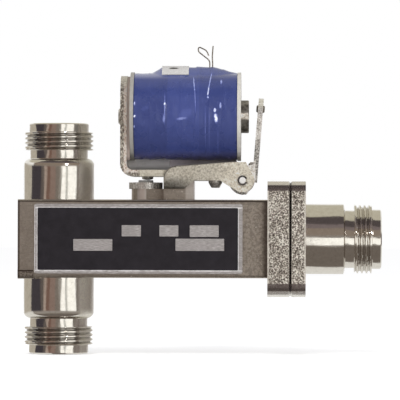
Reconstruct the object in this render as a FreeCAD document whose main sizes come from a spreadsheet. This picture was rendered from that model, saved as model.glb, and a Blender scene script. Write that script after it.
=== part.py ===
"""Coaxial antenna switch: a changeover relay with three threaded coaxial ports.

A square drawn tube is the outer conductor of the switched line. Two ports stand at its closed end,
one up and one down, and the common port is screwed to the flange at its other end. Inside, one long
blade swings between the centre contacts of the two ports. An open coil on top pulls a hinged
armature, whose arm presses an insulating rod down on the blade.

Frame: millimetres, +Z up, origin on the axis of the common port, at the middle of its thread, +X out
of that port. The name plate faces -Y.
"""

import FreeCAD
import Part
import Sketcher
import math
import os

doc = FreeCAD.newDocument("coaxial_antenna_switch")
sheet = doc.addObject("Spreadsheet::Sheet", "sizes")
subparts = []


# ---------------------------------------------------------------------------------------------
# Driving dimensions: alias, value in millimetres (angles in degrees), what it is
# ---------------------------------------------------------------------------------------------

DRIVING = [
    # the three ports
    ("thread_radius", 7.94, "outside radius of a port's thread"),
    ("thread_len", 4.0, "length of full thread"),
    ("thread_lead", 0.2, "length of the cone that leads into the thread"),
    ("lip_radius", 6.9, "plain lip in front of the thread"),
    ("lip_edge", 0.25, "chamfer on the edges of the lip"),
    ("neck_radius", 6.7, "relief behind the thread"),
    ("barrel_radius", 8.15, "body of a port"),
    ("side_lip_len", 1.95, "lip of the two side ports"),
    ("side_neck_len", 1.95, "neck of the two side ports"),
    ("side_shoulder_len", 1.2, "sloping shoulder of the side ports"),
    ("side_barrel_len", 8.3, "barrel of the side ports"),
    ("side_spigot_radius", 6.2, "spigot that sits in the wall of the tube"),
    ("common_lip_len", 2.05, "lip of the common port"),
    ("common_neck_len", 2.15, "neck of the common port"),
    ("common_shoulder_len", 0.35, "shoulder of the common port"),
    ("shoulder_radius", 1.9, "rounding of the shoulders"),
    ("common_barrel_len", 8.8, "barrel of the common port"),
    ("common_spigot_radius", 6.5, "spigot that centres the common port in the end flange"),
    ("common_spigot_len", 1.5, "depth of that spigot"),
    ("socket_radius", 4.05, "socket that takes the mating sleeve"),
    ("socket_depth", 9.1, "depth of the socket"),
    ("line_radius", 3.5, "bore of the coaxial line"),
    ("bead_radius", 5.2, "insulating bead"),
    ("bead_len", 6.2, "length of a bead"),
    ("bead_inset", 0.4, "bead behind the inner end of its shell"),
    ("contact_radius", 1.52, "centre contact"),
    ("contact_bore", 0.85, "bore of the centre contact's socket"),
    ("contact_bore_len", 6.0, "depth of that bore"),
    ("contact_recess", 4.6, "centre contact behind the mouth of the port"),
    ("contact_slit", 0.3, "width of the slits that make its fingers"),
    ("contact_slit_len", 5.0, "length of the slits"),
    ("collar_radius", 2.2, "collar behind the bead"),
    ("collar_len", 0.8, "thickness of the collar"),
    # tube and flanges
    ("tube_side", 18.0, "square tube across flats"),
    ("tube_wall", 1.2, "wall of the tube"),
    ("tube_edge", 0.8, "outside corner radius of the tube"),
    ("port_inset", 8.65, "axis of the side ports from the closed end"),
    ("seat_depth", 1.0, "depth of the tube's seat in the end flange"),
    ("flange_side", 26.5, "both flanges across flats"),
    ("end_flange_t", 5.25, "thickness of the end flange"),
    ("panel_flange_t", 3.5, "thickness of the flange of the common port"),
    ("flange_corner", 2.6, "corner radius of both flanges"),
    ("seam_chamfer", 0.35, "chamfers where the flanges meet"),
    ("flange_screw_inset", 4.1, "flange screws from the edges of the flanges"),
    ("flange_screw_radius", 1.25, "shank of a flange screw"),
    ("flange_screw_head", 2.6, "head radius of a flange screw"),
    ("tap_floor", 0.25, "metal left between the screw holes and the seat of the tube"),
    ("plug_len", 2.0, "depth of the end plug"),
    ("plug_skin", 0.25, "thickness of the plug's cover sheet"),
    ("plug_tab_len", 3.4, "folded tab of the cover sheet, along the tube"),
    ("plug_tab_height", 2.0, "height of the tab"),
    # name plate
    ("plate_end", 5.7, "name plate from the end flange"),
    ("plate_margin", 1.0, "name plate from the top and bottom of the tube"),
    ("plate_t", 0.35, "thickness of the name plate"),
    ("plate_inset", 3.6, "name plate from the closed end of the tube"),
    ("plate_border", 1.05, "bright border of the name plate"),
    ("plate_recess", 0.08, "depth of the dark field"),
    ("plate_corner", 0.5, "corner radius of the name plate"),
    # pedestal, guide bush and push rod
    ("rod_offset", 20.2, "push rod from the axis of the side ports"),
    ("pedestal_t", 2.5, "height of the pedestal bar"),
    ("pedestal_end_radius", 3.3, "half-round end of the pedestal"),
    ("bush_radius", 2.5, "outside of the guide bush"),
    ("bush_nose_radius", 2.0, "nose that goes through the wall of the tube"),
    ("bush_nose_len", 1.6, "nose below the wall"),
    ("bush_well_radius", 1.95, "well in the bush for cap and spring"),
    ("bush_floor", 2.0, "thickness of the floor under the well"),
    ("bush_rise", 0.5, "bush above the pedestal"),
    ("nut_radius", 3.9, "outside of the knurled ring nut"),
    ("nut_height", 1.5, "height of the ring nut"),
    ("nut_recess_radius", 3.1, "recess in the top of the ring nut"),
    ("knurl_count", 36, "grooves of the knurl"),
    ("knurl_width", 0.3, "width of one groove"),
    ("knurl_depth", 0.15, "depth of one groove"),
    ("rod_radius", 0.9, "push rod"),
    ("running_gap", 0.05, "radial clearance of what slides or turns"),
    ("cap_radius", 1.75, "cap of the push rod"),
    ("cap_len", 1.2, "height of the cap"),
    ("spring_wire", 0.3, "wire of the return spring"),
    ("spring_radius", 1.5, "mean radius of the return spring"),
    ("spring_turns", 4, "turns of the return spring"),
    ("spring_end_gap", 0.05, "spring clear of its seats"),
    # blade
    ("blade_t", 0.6, "thickness of the blade"),
    ("blade_width", 4.4, "width of the blade"),
    ("blade_root_width", 2.4, "width of the blade in its fork"),
    ("root_inset", 0.35, "root of the blade from the end flange"),
    ("fork_len", 2.0, "fork of the common contact before the root"),
    ("fork_depth", 4.0, "depth of the fork's slot"),
    ("fork_slot", 1.1, "height of the fork's slot"),
    ("blade_tail", 1.0, "blade behind the root"),
    ("button_radius", 1.3, "contact buttons on the blade"),
    ("button_len", 0.5, "height of a button"),
    ("fixed_radius", 1.9, "fixed contacts of the side ports"),
    ("fixed_len", 0.9, "thickness of a fixed contact"),
    ("contact_clear", 0.1, "room left where contacts would touch"),
    # hinge bracket
    ("nut_clear", 0.4, "bracket clear of the ring nut"),
    ("sheet_t", 0.9, "sheet of the hinge bracket"),
    ("cheek_gap", 12.8, "between the two cheeks"),
    ("web_len", 4.8, "flat web of the bracket"),
    ("ramp_len", 2.2, "sloping part of the web"),
    ("ledge_lift", 1.95, "ledge above the web"),
    ("ledge_end", 5.16, "level ledge ends this far before the pivot"),
    ("ledge_opening", 6.0, "opening for the arm between the ledges"),
    ("pivot_drop", 0.9, "pivot below the yoke's leg"),
    ("cheek_lobe", 2.7, "cheek round the pivot"),
    ("cheek_height", 3.35, "top of the cheeks above the ledge"),
    ("fold_radius", 0.8, "outside radius of the bracket's folds"),
    # yoke and coil
    ("yoke_t", 1.5, "thickness of the yoke"),
    ("yoke_bend", 1.4, "inside radius of the yoke's bend"),
    ("yoke_top", 9.4, "top of the yoke above the coil's axis"),
    ("slot_half", 2.9, "half the slot for the arm"),
    ("slot_clear", 1.05, "slot beyond the end of the arm"),
    ("yoke_gap", 0.45, "end of the yoke from the armature"),
    ("shoulder_start", 4.55, "yoke's shoulders from its back"),
    ("prong_half", 5.1, "half width of the yoke between the ears"),
    ("coil_gap", 2.2, "coil above the yoke's leg"),
    ("boss_len", 0.75, "boss of the bobbin on the yoke"),
    ("boss_radius", 5.2, "radius of that boss"),
    ("bobbin_flange_t", 0.85, "flanges of the bobbin"),
    ("bobbin_radius", 10.25, "radius of the bobbin's flanges"),
    ("bobbin_wall", 0.8, "tube of the bobbin"),
    ("coil_len", 23.85, "between the bobbin's flanges"),
    ("core_radius", 3.8, "iron core"),
    ("core_proud", 1.8, "pole face beyond the bobbin"),
    ("tenon_radius", 1.5, "riveted end of the core"),
    ("rivet_radius", 1.9, "rivet head of the core"),
    ("rivet_len", 0.65, "height of the rivet head"),
    ("winding_short", 0.75, "winding below the rims of the bobbin"),
    ("tape_t", 0.55, "thickness of the tape wrap"),
    ("hump_radius", 4.3, "hump of the tape over the lead-out"),
    ("hump_sink", 2.3, "axis of the hump below the top of the winding"),
    ("hump_start", 6.4, "full hump from the left end of the winding"),
    ("hump_len", 11.9, "length of the full hump"),
    ("hump_fall", 1.4, "height of its sloping ends"),
    ("hump_slope_left", 2.2, "length of the left slope"),
    ("hump_slope_right", 2.9, "length of the right slope"),
    ("tag_t", 0.25, "paper tag"),
    ("tag_len", 6.2, "length of the tag along the coil"),
    ("tag_angle", 58.0, "angle that the tag wraps"),
    ("lead_radius", 0.15, "coil wire"),
    ("lead_out", 11.0, "lead-out along the hump"),
    ("lead_space", 0.65, "between the two leads"),
    ("lead_top", 4.9, "leads above the hump"),
    ("pad_len", 8.25, "rubber pad under the coil, beyond the bend"),
    ("pad_width", 2.9, "width of the rubber pad"),
    # armature
    ("arm_reach", 22.06, "adjusting screw to pivot"),
    ("screw_offset", 0.4, "adjusting screw beside the axis of the push rod"),
    ("tilt", 5.7, "travel of the armature"),
    ("armature_t", 1.15, "thickness of the armature"),
    ("armature_half", 6.3, "half width of the armature"),
    ("plate_offset", 2.17, "pole side of the armature from the pivot"),
    ("plate_foot", 0.15, "bottom of the armature below the pivot"),
    ("plate_rise", 4.45, "top of the armature above the coil's axis"),
    ("plate_lean", 4.6, "lean of the armature at rest"),
    ("flange_clear", 2.41, "armature from the end flange, at the pivot's height"),
    ("ear_t", 1.0, "ears of the armature"),
    ("ear_lobe", 3.2, "ear round the pivot"),
    ("ear_top", 4.1, "top of the ears above the pivot"),
    ("pin_radius", 0.75, "pivot pin"),
    ("pin_proud", 0.7, "pin beyond the cheeks"),
    ("groove_radius", 0.55, "grooves of the pin"),
    ("clip_t", 0.4, "retaining clip"),
    ("clip_radius", 1.15, "outside of a clip"),
    ("clip_inset", 0.1, "clip from the cheek"),
    ("clip_mouth", 0.8, "mouth of a clip"),
    ("arm_t", 0.8, "actuator arm"),
    ("arm_half", 2.2, "half width of the arm"),
    ("arm_bend", 0.9, "outside radius of the arm's bend"),
    ("arm_lift", 1.7, "arm above the pivot"),
    ("arm_tab", 2.6, "height of the arm's tab"),
    ("tab_rivet_radius", 0.45, "rivets of the tab"),
    ("tab_rivet_head", 0.75, "rivet heads of the tab"),
    ("tab_rivet_len", 0.35, "height of those heads"),
    ("tab_rivet_space", 2.2, "between the two rivets, across"),
    ("residual_rise", 2.05, "residual pin above the coil's axis"),
    ("residual_radius", 0.85, "residual pin"),
    ("residual_proud", 0.4, "residual pin beyond the armature"),
    ("pole_clear", 0.05, "residual pin from the pole face when pulled in"),
    ("screw_head_radius", 1.3, "head of the adjusting screw"),
    ("screw_head_len", 0.85, "height of that head"),
    ("screw_dome", 4.0, "radius of the dome under that head"),
    ("screw_radius", 0.8, "shank of the adjusting screw"),
    ("lock_nut_radius", 1.35, "lock nut across corners, halved"),
    ("lock_nut_len", 0.7, "height of the lock nut"),
    # small fixing screws
    ("fix_radius", 0.95, "shank of the fixing screws"),
    ("fix_head_radius", 1.5, "head of the fixing screws"),
    ("fix_head_len", 1.6, "height of a domed head under the yoke"),
    ("web_head_len", 0.9, "height of a head on the web"),
    ("fix_spacing", 9.3, "between the two screws of a pair"),
    ("yoke_screw_inset", 1.2, "yoke screws before the end of the ledge"),
]


class Size(float):
    """A number that also keeps the expression it came from, so that a property can be bound to it."""

    def __new__(cls, value, text):
        made = super().__new__(cls, value)
        made.text = text
        return made

    def __add__(self, other):
        return Size(float(self) + float(other), f"({self.text} + {text_of(other)})")

    def __sub__(self, other):
        return Size(float(self) - float(other), f"({self.text} - {text_of(other)})")

    def __mul__(self, other):
        return Size(float(self) * float(other), f"({self.text} * {text_of(other)})")

    def __truediv__(self, other):
        return Size(float(self) / float(other), f"({self.text} / {text_of(other)})")

    def __radd__(self, other):
        return Size(float(other) + float(self), f"({text_of(other)} + {self.text})")

    def __rsub__(self, other):
        return Size(float(other) - float(self), f"({text_of(other)} - {self.text})")

    def __neg__(self):
        return Size(-float(self), f"(0 - {self.text})")


def text_of(number):
    return number.text if isinstance(number, Size) else f"{float(number):.6f}"


def sine(angle):
    return Size(math.sin(math.radians(angle)), f"sin({text_of(angle)} * 1 deg)")


def cosine(angle):
    return Size(math.cos(math.radians(angle)), f"cos({text_of(angle)} * 1 deg)")


def tangent(angle):
    return Size(math.tan(math.radians(angle)), f"tan({text_of(angle)} * 1 deg)")


def root(number):
    return Size(math.sqrt(number), f"sqrt({text_of(number)})")


class Sizes:
    """The driving dimensions by name."""


s = Sizes()
for row, (alias, value, meaning) in enumerate(DRIVING, start=1):
    sheet.set(f"A{row}", meaning)
    sheet.set(f"B{row}", str(value))
    sheet.setAlias(f"B{row}", alias)
    setattr(s, alias, Size(value, f"sizes.{alias}"))
doc.recompute()


# ---------------------------------------------------------------------------------------------
# Helpers
# ---------------------------------------------------------------------------------------------


def bind(thing, path, number):
    """Ties one property to the sheet, or sets it if nothing in the sheet drives it."""
    thing.setExpression(path, text_of(number))


def place(thing, x=0.0, y=0.0, z=0.0, about=None, angle=0.0):
    """Puts a piece at (x, y, z), turned by angle degrees about an axis through that point."""
    if about is not None:
        thing.Placement = FreeCAD.Placement(FreeCAD.Vector(), FreeCAD.Vector(*about), 1.0)
        bind(thing, "Placement.Rotation.Angle", angle)
    for path, number in (("x", x), ("y", y), ("z", z)):
        bind(thing, f"Placement.Base.{path}", number)


def keep(thing):
    """Counts a piece as one of the sub-parts."""
    subparts.append(thing)
    return thing


def body(label):
    made = doc.addObject("PartDesign::Body", label)
    made.Label = label
    return made


def sketch(owner, plane, across=0.0, up=0.0, out=0.0):
    """A sketch on a plane of the body, moved in that plane by across and up and along its normal
    by out. On XY the sketch's axes are X and Y, on XZ they are X and Z, on YZ they are Y and Z."""
    made = owner.newObject("Sketcher::SketchObject", f"{owner.Label}_sketch")
    role = f"{plane}_Plane"
    support = [f for f in owner.Origin.OriginFeatures if f.Role == role][0]
    made.AttachmentSupport = [(support, "")]
    made.MapMode = "FlatFace"
    for path, number in (("x", across), ("y", up), ("z", out)):
        bind(made, f"AttachmentOffset.Base.{path}", number)
    return made


def pin_point(made, geometry, end, x, y):
    """Fixes one point of a sketch by its two coordinates."""
    across = made.addConstraint(Sketcher.Constraint("DistanceX", geometry, end, float(x)))
    bind(made, f"Constraints[{across}]", x)
    up = made.addConstraint(Sketcher.Constraint("DistanceY", geometry, end, float(y)))
    bind(made, f"Constraints[{up}]", y)


def outline(made, vertices):
    """A closed outline, counter-clockwise. A vertex is (x, y), or (x, y, radius) where the edge
    that leaves it is an arc: positive bulges outwards, negative inwards."""
    start = made.GeometryCount
    count = len(vertices)
    ends = []
    for i, vertex in enumerate(vertices):
        a = FreeCAD.Vector(vertex[0], vertex[1], 0)
        b = FreeCAD.Vector(vertices[(i + 1) % count][0], vertices[(i + 1) % count][1], 0)
        if len(vertex) == 2:
            made.addGeometry(Part.LineSegment(a, b))
            ends.append((1, 2))
            continue
        side = 1 if vertex[2] > 0 else -1
        half = (b - a) / 2
        height = math.sqrt(max(vertex[2] ** 2 - half.Length ** 2, 0.0))
        normal = FreeCAD.Vector(-half.y, half.x, 0).normalize()
        centre = a + half + normal * (height * side)
        first, last = (a, b) if side > 0 else (b, a)
        from_angle = math.atan2(first.y - centre.y, first.x - centre.x)
        to_angle = math.atan2(last.y - centre.y, last.x - centre.x)
        if to_angle < from_angle:
            to_angle += 2 * math.pi
        circle = Part.Circle(centre, FreeCAD.Vector(0, 0, 1), abs(float(vertex[2])))
        made.addGeometry(Part.ArcOfCircle(circle, from_angle, to_angle))
        ends.append((1, 2) if side > 0 else (2, 1))
    for i in range(count):
        j = (i + 1) % count
        made.addConstraint(Sketcher.Constraint("Coincident", start + i, ends[i][1], start + j, ends[j][0]))
    for i, vertex in enumerate(vertices):
        pin_point(made, start + i, ends[i][0], vertex[0], vertex[1])
        if len(vertex) == 3:
            size = vertex[2] if vertex[2] > 0 else -vertex[2]
            arc = made.addConstraint(Sketcher.Constraint("Radius", start + i, float(size)))
            bind(made, f"Constraints[{arc}]", size)


def rectangle(made, left, bottom, right, top):
    outline(made, [(left, bottom), (right, bottom), (right, top), (left, top)])


def ring(made, x, y, radius):
    """A full circle in a sketch."""
    centre = FreeCAD.Vector(x, y, 0)
    index = made.addGeometry(Part.Circle(centre, FreeCAD.Vector(0, 0, 1), float(radius)))
    pin_point(made, index, 3, x, y)
    size = made.addConstraint(Sketcher.Constraint("Radius", index, float(radius)))
    bind(made, f"Constraints[{size}]", radius)


def extrude(owner, kind, profile, length):
    """A Pad or a Pocket that reaches as far on either side of its sketch."""
    made = owner.newObject(f"PartDesign::{kind}", f"{owner.Label}_{kind.lower()}")
    made.Profile = profile
    made.SideType = "Symmetric"
    bind(made, "Length", length)
    profile.Visibility = False
    return made


def pad(owner, profile, length):
    return extrude(owner, "Pad", profile, length)


def pocket(owner, profile, length):
    return extrude(owner, "Pocket", profile, length)


def revolve(owner, profile, axis="V_Axis"):
    made = owner.newObject("PartDesign::Revolution", f"{owner.Label}_revolution")
    made.Profile = profile
    made.ReferenceAxis = (profile, [axis])
    made.Angle = 360
    return made


def dress(owner, kind, pick, size):
    """Fillet or Chamfer on those edges of the body for which pick(edge) is true."""
    doc.recompute()
    base = owner.Tip
    names = [f"Edge{i}" for i, edge in enumerate(base.Shape.Edges, start=1) if pick(edge)]
    if not names:
        raise ValueError(f"{owner.Label}: no edge found to dress")
    made = owner.newObject(f"PartDesign::{kind}", f"{owner.Label}_{kind.lower()}")
    made.Base = (base, names)
    bind(made, "Radius" if kind == "Fillet" else "Size", size)
    return made


def middle(edge):
    return edge.valueAt((edge.FirstParameter + edge.LastParameter) / 2)


def along(edge, axis):
    """True for a straight edge that runs along "x", "y" or "z"."""
    if edge.Curve.TypeId != "Part::GeomLine":
        return False
    return abs(abs(getattr(edge.Curve.Direction, axis)) - 1) < 1e-6


def near(number, target):
    return abs(number - target) < 1e-4


def square(made, side, corner):
    """A square with round corners, centred on the sketch's origin."""
    h = side / 2
    k = side / 2 - corner
    outline(made, [(-k, -h), (k, -h, corner), (h, -k), (h, k, corner),
                   (k, h), (-k, h, corner), (-h, k), (-h, -k, corner)])


def on_rim(across, up):
    """True for the middle of an edge that runs round the outside of a flange."""
    return max(abs(across), abs(up)) > s.flange_side / 2 - s.flange_corner / 2


def group(label, members):
    """Identical fasteners as one node of separate solids."""
    made = doc.addObject("Part::Compound", label)
    made.Label = label
    made.Links = members
    return keep(made)


# ---------------------------------------------------------------------------------------------
# Places, worked out from the driving dimensions
# ---------------------------------------------------------------------------------------------

half_tube = s.tube_side / 2
cavity = half_tube - s.tube_wall
common_tip = s.thread_len / 2 + s.thread_lead + s.common_lip_len
common_barrel_x = -(s.thread_len / 2 + s.common_neck_len + s.common_shoulder_len)
seam_x = common_barrel_x - s.common_barrel_len - s.panel_flange_t
flange_x = seam_x - s.end_flange_t

# along the body, from the end flange back to the closed end
pivot_x = (flange_x - s.flange_clear
           - (s.plate_offset + s.armature_t) / cosine(s.plate_lean))
screw_x = pivot_x - s.arm_reach
rod_x = screw_x - s.screw_offset
port_x = rod_x - s.rod_offset
closed_x = port_x - s.port_inset
tube_len = flange_x - closed_x

# side ports, from the tube outwards
side_nose = s.side_lip_len + s.thread_lead + s.thread_len + s.side_neck_len + s.side_shoulder_len
side_tip = half_tube + s.side_barrel_len + side_nose
side_depth = side_tip - cavity
common_depth = common_tip - seam_x + s.common_spigot_len

# flange screws: across the body, and how deep they go into the end flange
screw_side = s.flange_side / 2 - s.flange_screw_inset
screw_grip = s.end_flange_t - s.seat_depth - s.tap_floor

# heights of the bracket, the yoke, the arm and the coil
pedestal_top = half_tube + s.pedestal_t
ledge_z = pedestal_top + s.ledge_lift
leg_z = ledge_z + s.sheet_t
leg_top = leg_z + s.yoke_t
pivot_z = leg_z - s.pivot_drop
arm_z = pivot_z + s.arm_lift
screw_tip_z = arm_z - s.lock_nut_len - s.screw_head_len
coil_z = leg_top + s.coil_gap + s.bobbin_radius
winding_radius = s.bobbin_radius - s.winding_short
hump_z = coil_z + winding_radius - s.hump_sink

# along the bracket
bracket_x = rod_x + s.nut_radius + s.nut_clear
ramp_x = bracket_x + s.web_len
ledge_x = ramp_x + s.ramp_len
ledge_end_x = pivot_x - s.ledge_end
web_screw_x = bracket_x + s.web_len / 2
yoke_screw_x = ledge_end_x - s.yoke_screw_inset
cheek_in = s.cheek_gap / 2
cheek_out = cheek_in + s.sheet_t

# the coil stands where the pulled-in armature brings its residual pin to the pole face
residual_height = coil_z - pivot_z + s.residual_rise
pulled = s.plate_lean - s.tilt
pole_x = (pivot_x + (s.plate_offset - s.residual_proud) * cosine(pulled)
          + residual_height * sine(pulled) - s.pole_clear)
flange_b = pole_x - s.core_proud - s.bobbin_flange_t
winding_x = flange_b - s.coil_len
flange_a = winding_x - s.bobbin_flange_t
yoke_x = flange_a - s.boss_len - s.yoke_t
hump_x = winding_x + s.hump_start

# the rod follows the arm, and the blade follows the rod
rod_travel = s.arm_reach * sine(s.tilt)
hinge_x = flange_x - s.root_inset
rod_reach = hinge_x - rod_x
blade_reach = hinge_x - port_x
blade_slope = rod_travel / 2 / rod_reach
blade_rise = blade_slope * blade_reach
fixed_face = blade_rise + s.blade_t / 2 + s.button_len + s.contact_clear


# ---------------------------------------------------------------------------------------------
# Ports: each is drawn from its mouth inwards, along its own -Z, and then put in its place
# ---------------------------------------------------------------------------------------------


def port_shell(label, lip_len, neck_len, shoulder_len, barrel_len, spigot_radius, depth):
    """Threaded shell of a port, turned from bar: the thread is its outside cylinder."""
    made = keep(body(label))
    thread_top = -(lip_len + s.thread_lead)
    thread_foot = thread_top - s.thread_len
    shoulder = thread_foot - neck_len
    barrel = shoulder - shoulder_len
    bead_top = -(depth - s.bead_inset - s.bead_len)
    mouth = s.socket_radius + s.lip_edge
    revolve(made, turned := sketch(made, "XZ"))
    outline(turned, [
        (mouth, 0.0), (s.socket_radius, -s.lip_edge), (s.socket_radius, -s.socket_depth),
        (s.line_radius, -s.socket_depth), (s.line_radius, bead_top), (s.bead_radius, bead_top),
        (s.bead_radius, -depth), (spigot_radius, -depth), (spigot_radius, barrel - barrel_len),
        (s.barrel_radius, barrel - barrel_len), (s.barrel_radius, barrel, s.shoulder_radius),
        (s.neck_radius, shoulder), (s.neck_radius, thread_foot), (s.thread_radius, thread_foot),
        (s.thread_radius, thread_top), (s.lip_radius, -lip_len),
        (s.lip_radius, -s.lip_edge), (s.lip_radius - s.lip_edge, 0.0),
    ])
    return made


def insulator(label, depth):
    """Bead that holds the centre contact in its shell."""
    made = keep(body(label))
    foot = -(depth - s.bead_inset)
    revolve(made, turned := sketch(made, "XZ"))
    rectangle(turned, s.contact_radius, foot, s.bead_radius, foot + s.bead_len)
    return made


def centre_contact(label, depth, inner_end):
    """Slit socket, stem through the bead, collar behind it."""
    made = keep(body(label))
    collar = -(depth - s.bead_inset)
    tip = -s.contact_recess
    revolve(made, turned := sketch(made, "XZ"))
    outline(turned, [
        (0.0, -inner_end), (s.contact_radius, -inner_end), (s.contact_radius, collar - s.collar_len),
        (s.collar_radius, collar - s.collar_len), (s.collar_radius, collar),
        (s.contact_radius, collar), (s.contact_radius, tip - s.contact_slit),
        (s.contact_radius - s.contact_slit, tip), (s.contact_bore, tip),
        (s.contact_bore, tip - s.contact_bore_len), (0.0, tip - s.contact_bore_len),
    ])
    for plane in ("XZ", "YZ"):
        slit = sketch(made, plane, up=tip)
        rectangle(slit, -s.contact_slit / 2, -s.contact_slit_len, s.contact_slit / 2, 0.0)
        pocket(made, slit, s.contact_radius * 3)
    return made


def put_port(thing, port):
    """Moves a piece that was drawn from a port's mouth to that port."""
    if port == "top":
        place(thing, port_x, 0.0, side_tip)
    elif port == "bottom":
        place(thing, port_x, 0.0, -side_tip, about=(1, 0, 0), angle=180)
    else:
        place(thing, common_tip, 0.0, 0.0, about=(0, 1, 0), angle=90)


for port in ("top", "bottom"):
    put_port(port_shell(f"port_shell_{port}", s.side_lip_len, s.side_neck_len, s.side_shoulder_len,
                        s.side_barrel_len, s.side_spigot_radius, side_depth), port)
    put_port(insulator(f"insulator_{port}", side_depth), port)
    stem_end = side_tip - fixed_face - s.fixed_len
    put_port(centre_contact(f"centre_contact_{port}", side_depth, stem_end), port)
    fixed = keep(body(f"fixed_contact_{port}"))
    revolve(fixed, turned := sketch(fixed, "XZ"))
    rim = -(stem_end + s.fixed_len / 2)
    outline(turned, [(0.0, -(stem_end + s.fixed_len)), (s.button_radius, -(stem_end + s.fixed_len)),
                     (s.fixed_radius, rim), (s.fixed_radius, -stem_end), (0.0, -stem_end)])
    put_port(fixed, port)

# the common port has a square flange, screwed to the end flange of the tube
common = port_shell("port_shell_common", s.common_lip_len, s.common_neck_len,
                    s.common_shoulder_len, s.common_barrel_len + s.panel_flange_t,
                    s.common_spigot_radius, common_depth)
panel_mid = seam_x - common_tip + s.panel_flange_t / 2
plan = sketch(common, "XY", out=panel_mid)
square(plan, s.flange_side, s.flange_corner)
ring(plan, 0.0, 0.0, s.barrel_radius - s.tube_wall)
pad(common, plan, s.panel_flange_t)
screw_places = [(screw_side * i, screw_side * j) for i, j in ((-1, -1), (1, -1), (1, 1), (-1, 1))]
holes = sketch(common, "XY", out=panel_mid)
for x, y in screw_places:
    ring(holes, x, y, s.flange_screw_radius)
pocket(common, holes, s.panel_flange_t * 2)
head_len = s.flange_screw_head - s.flange_screw_radius
head_z = seam_x - common_tip + s.panel_flange_t
dress(common, "Chamfer", lambda e: e.Curve.TypeId == "Part::GeomCircle" and near(middle(e).z, head_z)
      and near(e.Curve.Radius, s.flange_screw_radius), head_len)
dress(common, "Chamfer", lambda e: near(middle(e).z, seam_x - common_tip)
      and on_rim(middle(e).x, middle(e).y), s.seam_chamfer)
put_port(common, "common")
put_port(insulator("insulator_common", common_depth), "common")

# its centre contact runs through the end flange and ends in a fork that holds the blade
fork_end = common_tip - hinge_x + s.fork_len
fork = centre_contact("centre_contact_common", common_depth, fork_end)
slot = sketch(fork, "YZ", up=-fork_end)
rectangle(slot, -s.collar_radius, 0.0, s.collar_radius, 0.0 + s.fork_depth)
pocket(fork, slot, s.fork_slot)
put_port(fork, "common")


# ---------------------------------------------------------------------------------------------
# Tube, end flange, end plug and name plate
# ---------------------------------------------------------------------------------------------


def body_tube():
    """Drawn square tube, the outer conductor of the switched line."""
    made = keep(body("body_tube"))
    length = tube_len + s.seat_depth
    section = sketch(made, "YZ", out=closed_x + length / 2)
    square(section, s.tube_side, s.tube_edge)
    pad(made, section, length)
    inside = sketch(made, "YZ", out=closed_x + length / 2)
    rectangle(inside, -cavity, -cavity, cavity, cavity)
    pocket(made, inside, length * 2)
    ports = sketch(made, "XY")
    ring(ports, port_x, 0.0, s.side_spigot_radius)
    pocket(made, ports, s.tube_side * 2)
    top = sketch(made, "XY", out=half_tube)
    ring(top, rod_x, 0.0, s.bush_nose_radius)
    for y in (-s.fix_spacing / 2, s.fix_spacing / 2):
        ring(top, web_screw_x, y, s.fix_radius)
    pocket(made, top, s.tube_wall * 4)


def end_flange():
    """Cast plate that the tube is soldered into, with a round bore for the line."""
    made = keep(body("end_flange"))
    mid = flange_x + s.end_flange_t / 2
    plan = sketch(made, "YZ", out=mid)
    square(plan, s.flange_side, s.flange_corner)
    pad(made, plan, s.end_flange_t)
    seat = sketch(made, "YZ", out=flange_x)
    square(seat, s.tube_side, s.tube_edge)
    pocket(made, seat, s.seat_depth * 2)
    line = sketch(made, "YZ", out=mid)
    ring(line, 0.0, 0.0, s.line_radius)
    pocket(made, line, s.end_flange_t * 2)
    spigot = sketch(made, "YZ", out=seam_x)
    ring(spigot, 0.0, 0.0, s.common_spigot_radius)
    pocket(made, spigot, s.common_spigot_len * 2)
    taps = sketch(made, "YZ", out=seam_x)
    for x, y in screw_places:
        ring(taps, x, y, s.flange_screw_radius)
    pocket(made, taps, screw_grip * 2)
    dress(made, "Chamfer", lambda e: near(middle(e).x, seam_x)
          and on_rim(middle(e).y, middle(e).z), s.seam_chamfer)


def end_plug():
    """Block that closes the tube, with a thin cover sheet folded round one corner of the tube."""
    made = keep(body("end_plug"))
    block = sketch(made, "YZ", out=closed_x + s.plug_len / 2)
    rectangle(block, -cavity, -cavity, cavity, cavity)
    pad(made, block, s.plug_len)
    cover = sketch(made, "YZ", out=closed_x - s.plug_skin / 2)
    square(cover, s.tube_side, s.tube_edge)
    pad(made, cover, s.plug_skin)
    outside = half_tube + s.plug_skin
    outer = s.tube_edge + s.plug_skin
    inner = s.tube_edge
    end = -(half_tube - s.plug_tab_height)
    tab = sketch(made, "YZ", out=closed_x + s.plug_tab_len / 2 - s.plug_skin / 2)
    outline(tab, [(-outside, end), (-outside, -outside + outer, outer), (-outside + outer, -outside),
                  (end, -outside), (end, -half_tube), (-half_tube + inner, -half_tube, -inner),
                  (-half_tube, -half_tube + inner), (-half_tube, end)])
    pad(made, tab, s.plug_tab_len + s.plug_skin)


def name_plate():
    """Thin plate with a bright border round a sunk dark field."""
    made = keep(body("name_plate"))
    w = (tube_len - s.plate_inset - s.plate_end) / 2
    h = half_tube - s.plate_margin
    mid = closed_x + s.plate_inset + w
    plan = sketch(made, "XZ", across=mid, out=half_tube + s.plate_t / 2)
    c = s.plate_corner
    outline(plan, [(-w + c, -h), (w - c, -h, c), (w, -h + c), (w, h - c, c),
                   (w - c, h), (-w + c, h, c), (-w, h - c), (-w, -h + c, c)])
    pad(made, plan, s.plate_t)
    field = sketch(made, "XZ", across=mid, out=half_tube + s.plate_t)
    b = s.plate_border
    rectangle(field, -w + b, -h + b, w - b, h - b)
    pocket(made, field, s.plate_recess * 2)


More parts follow.
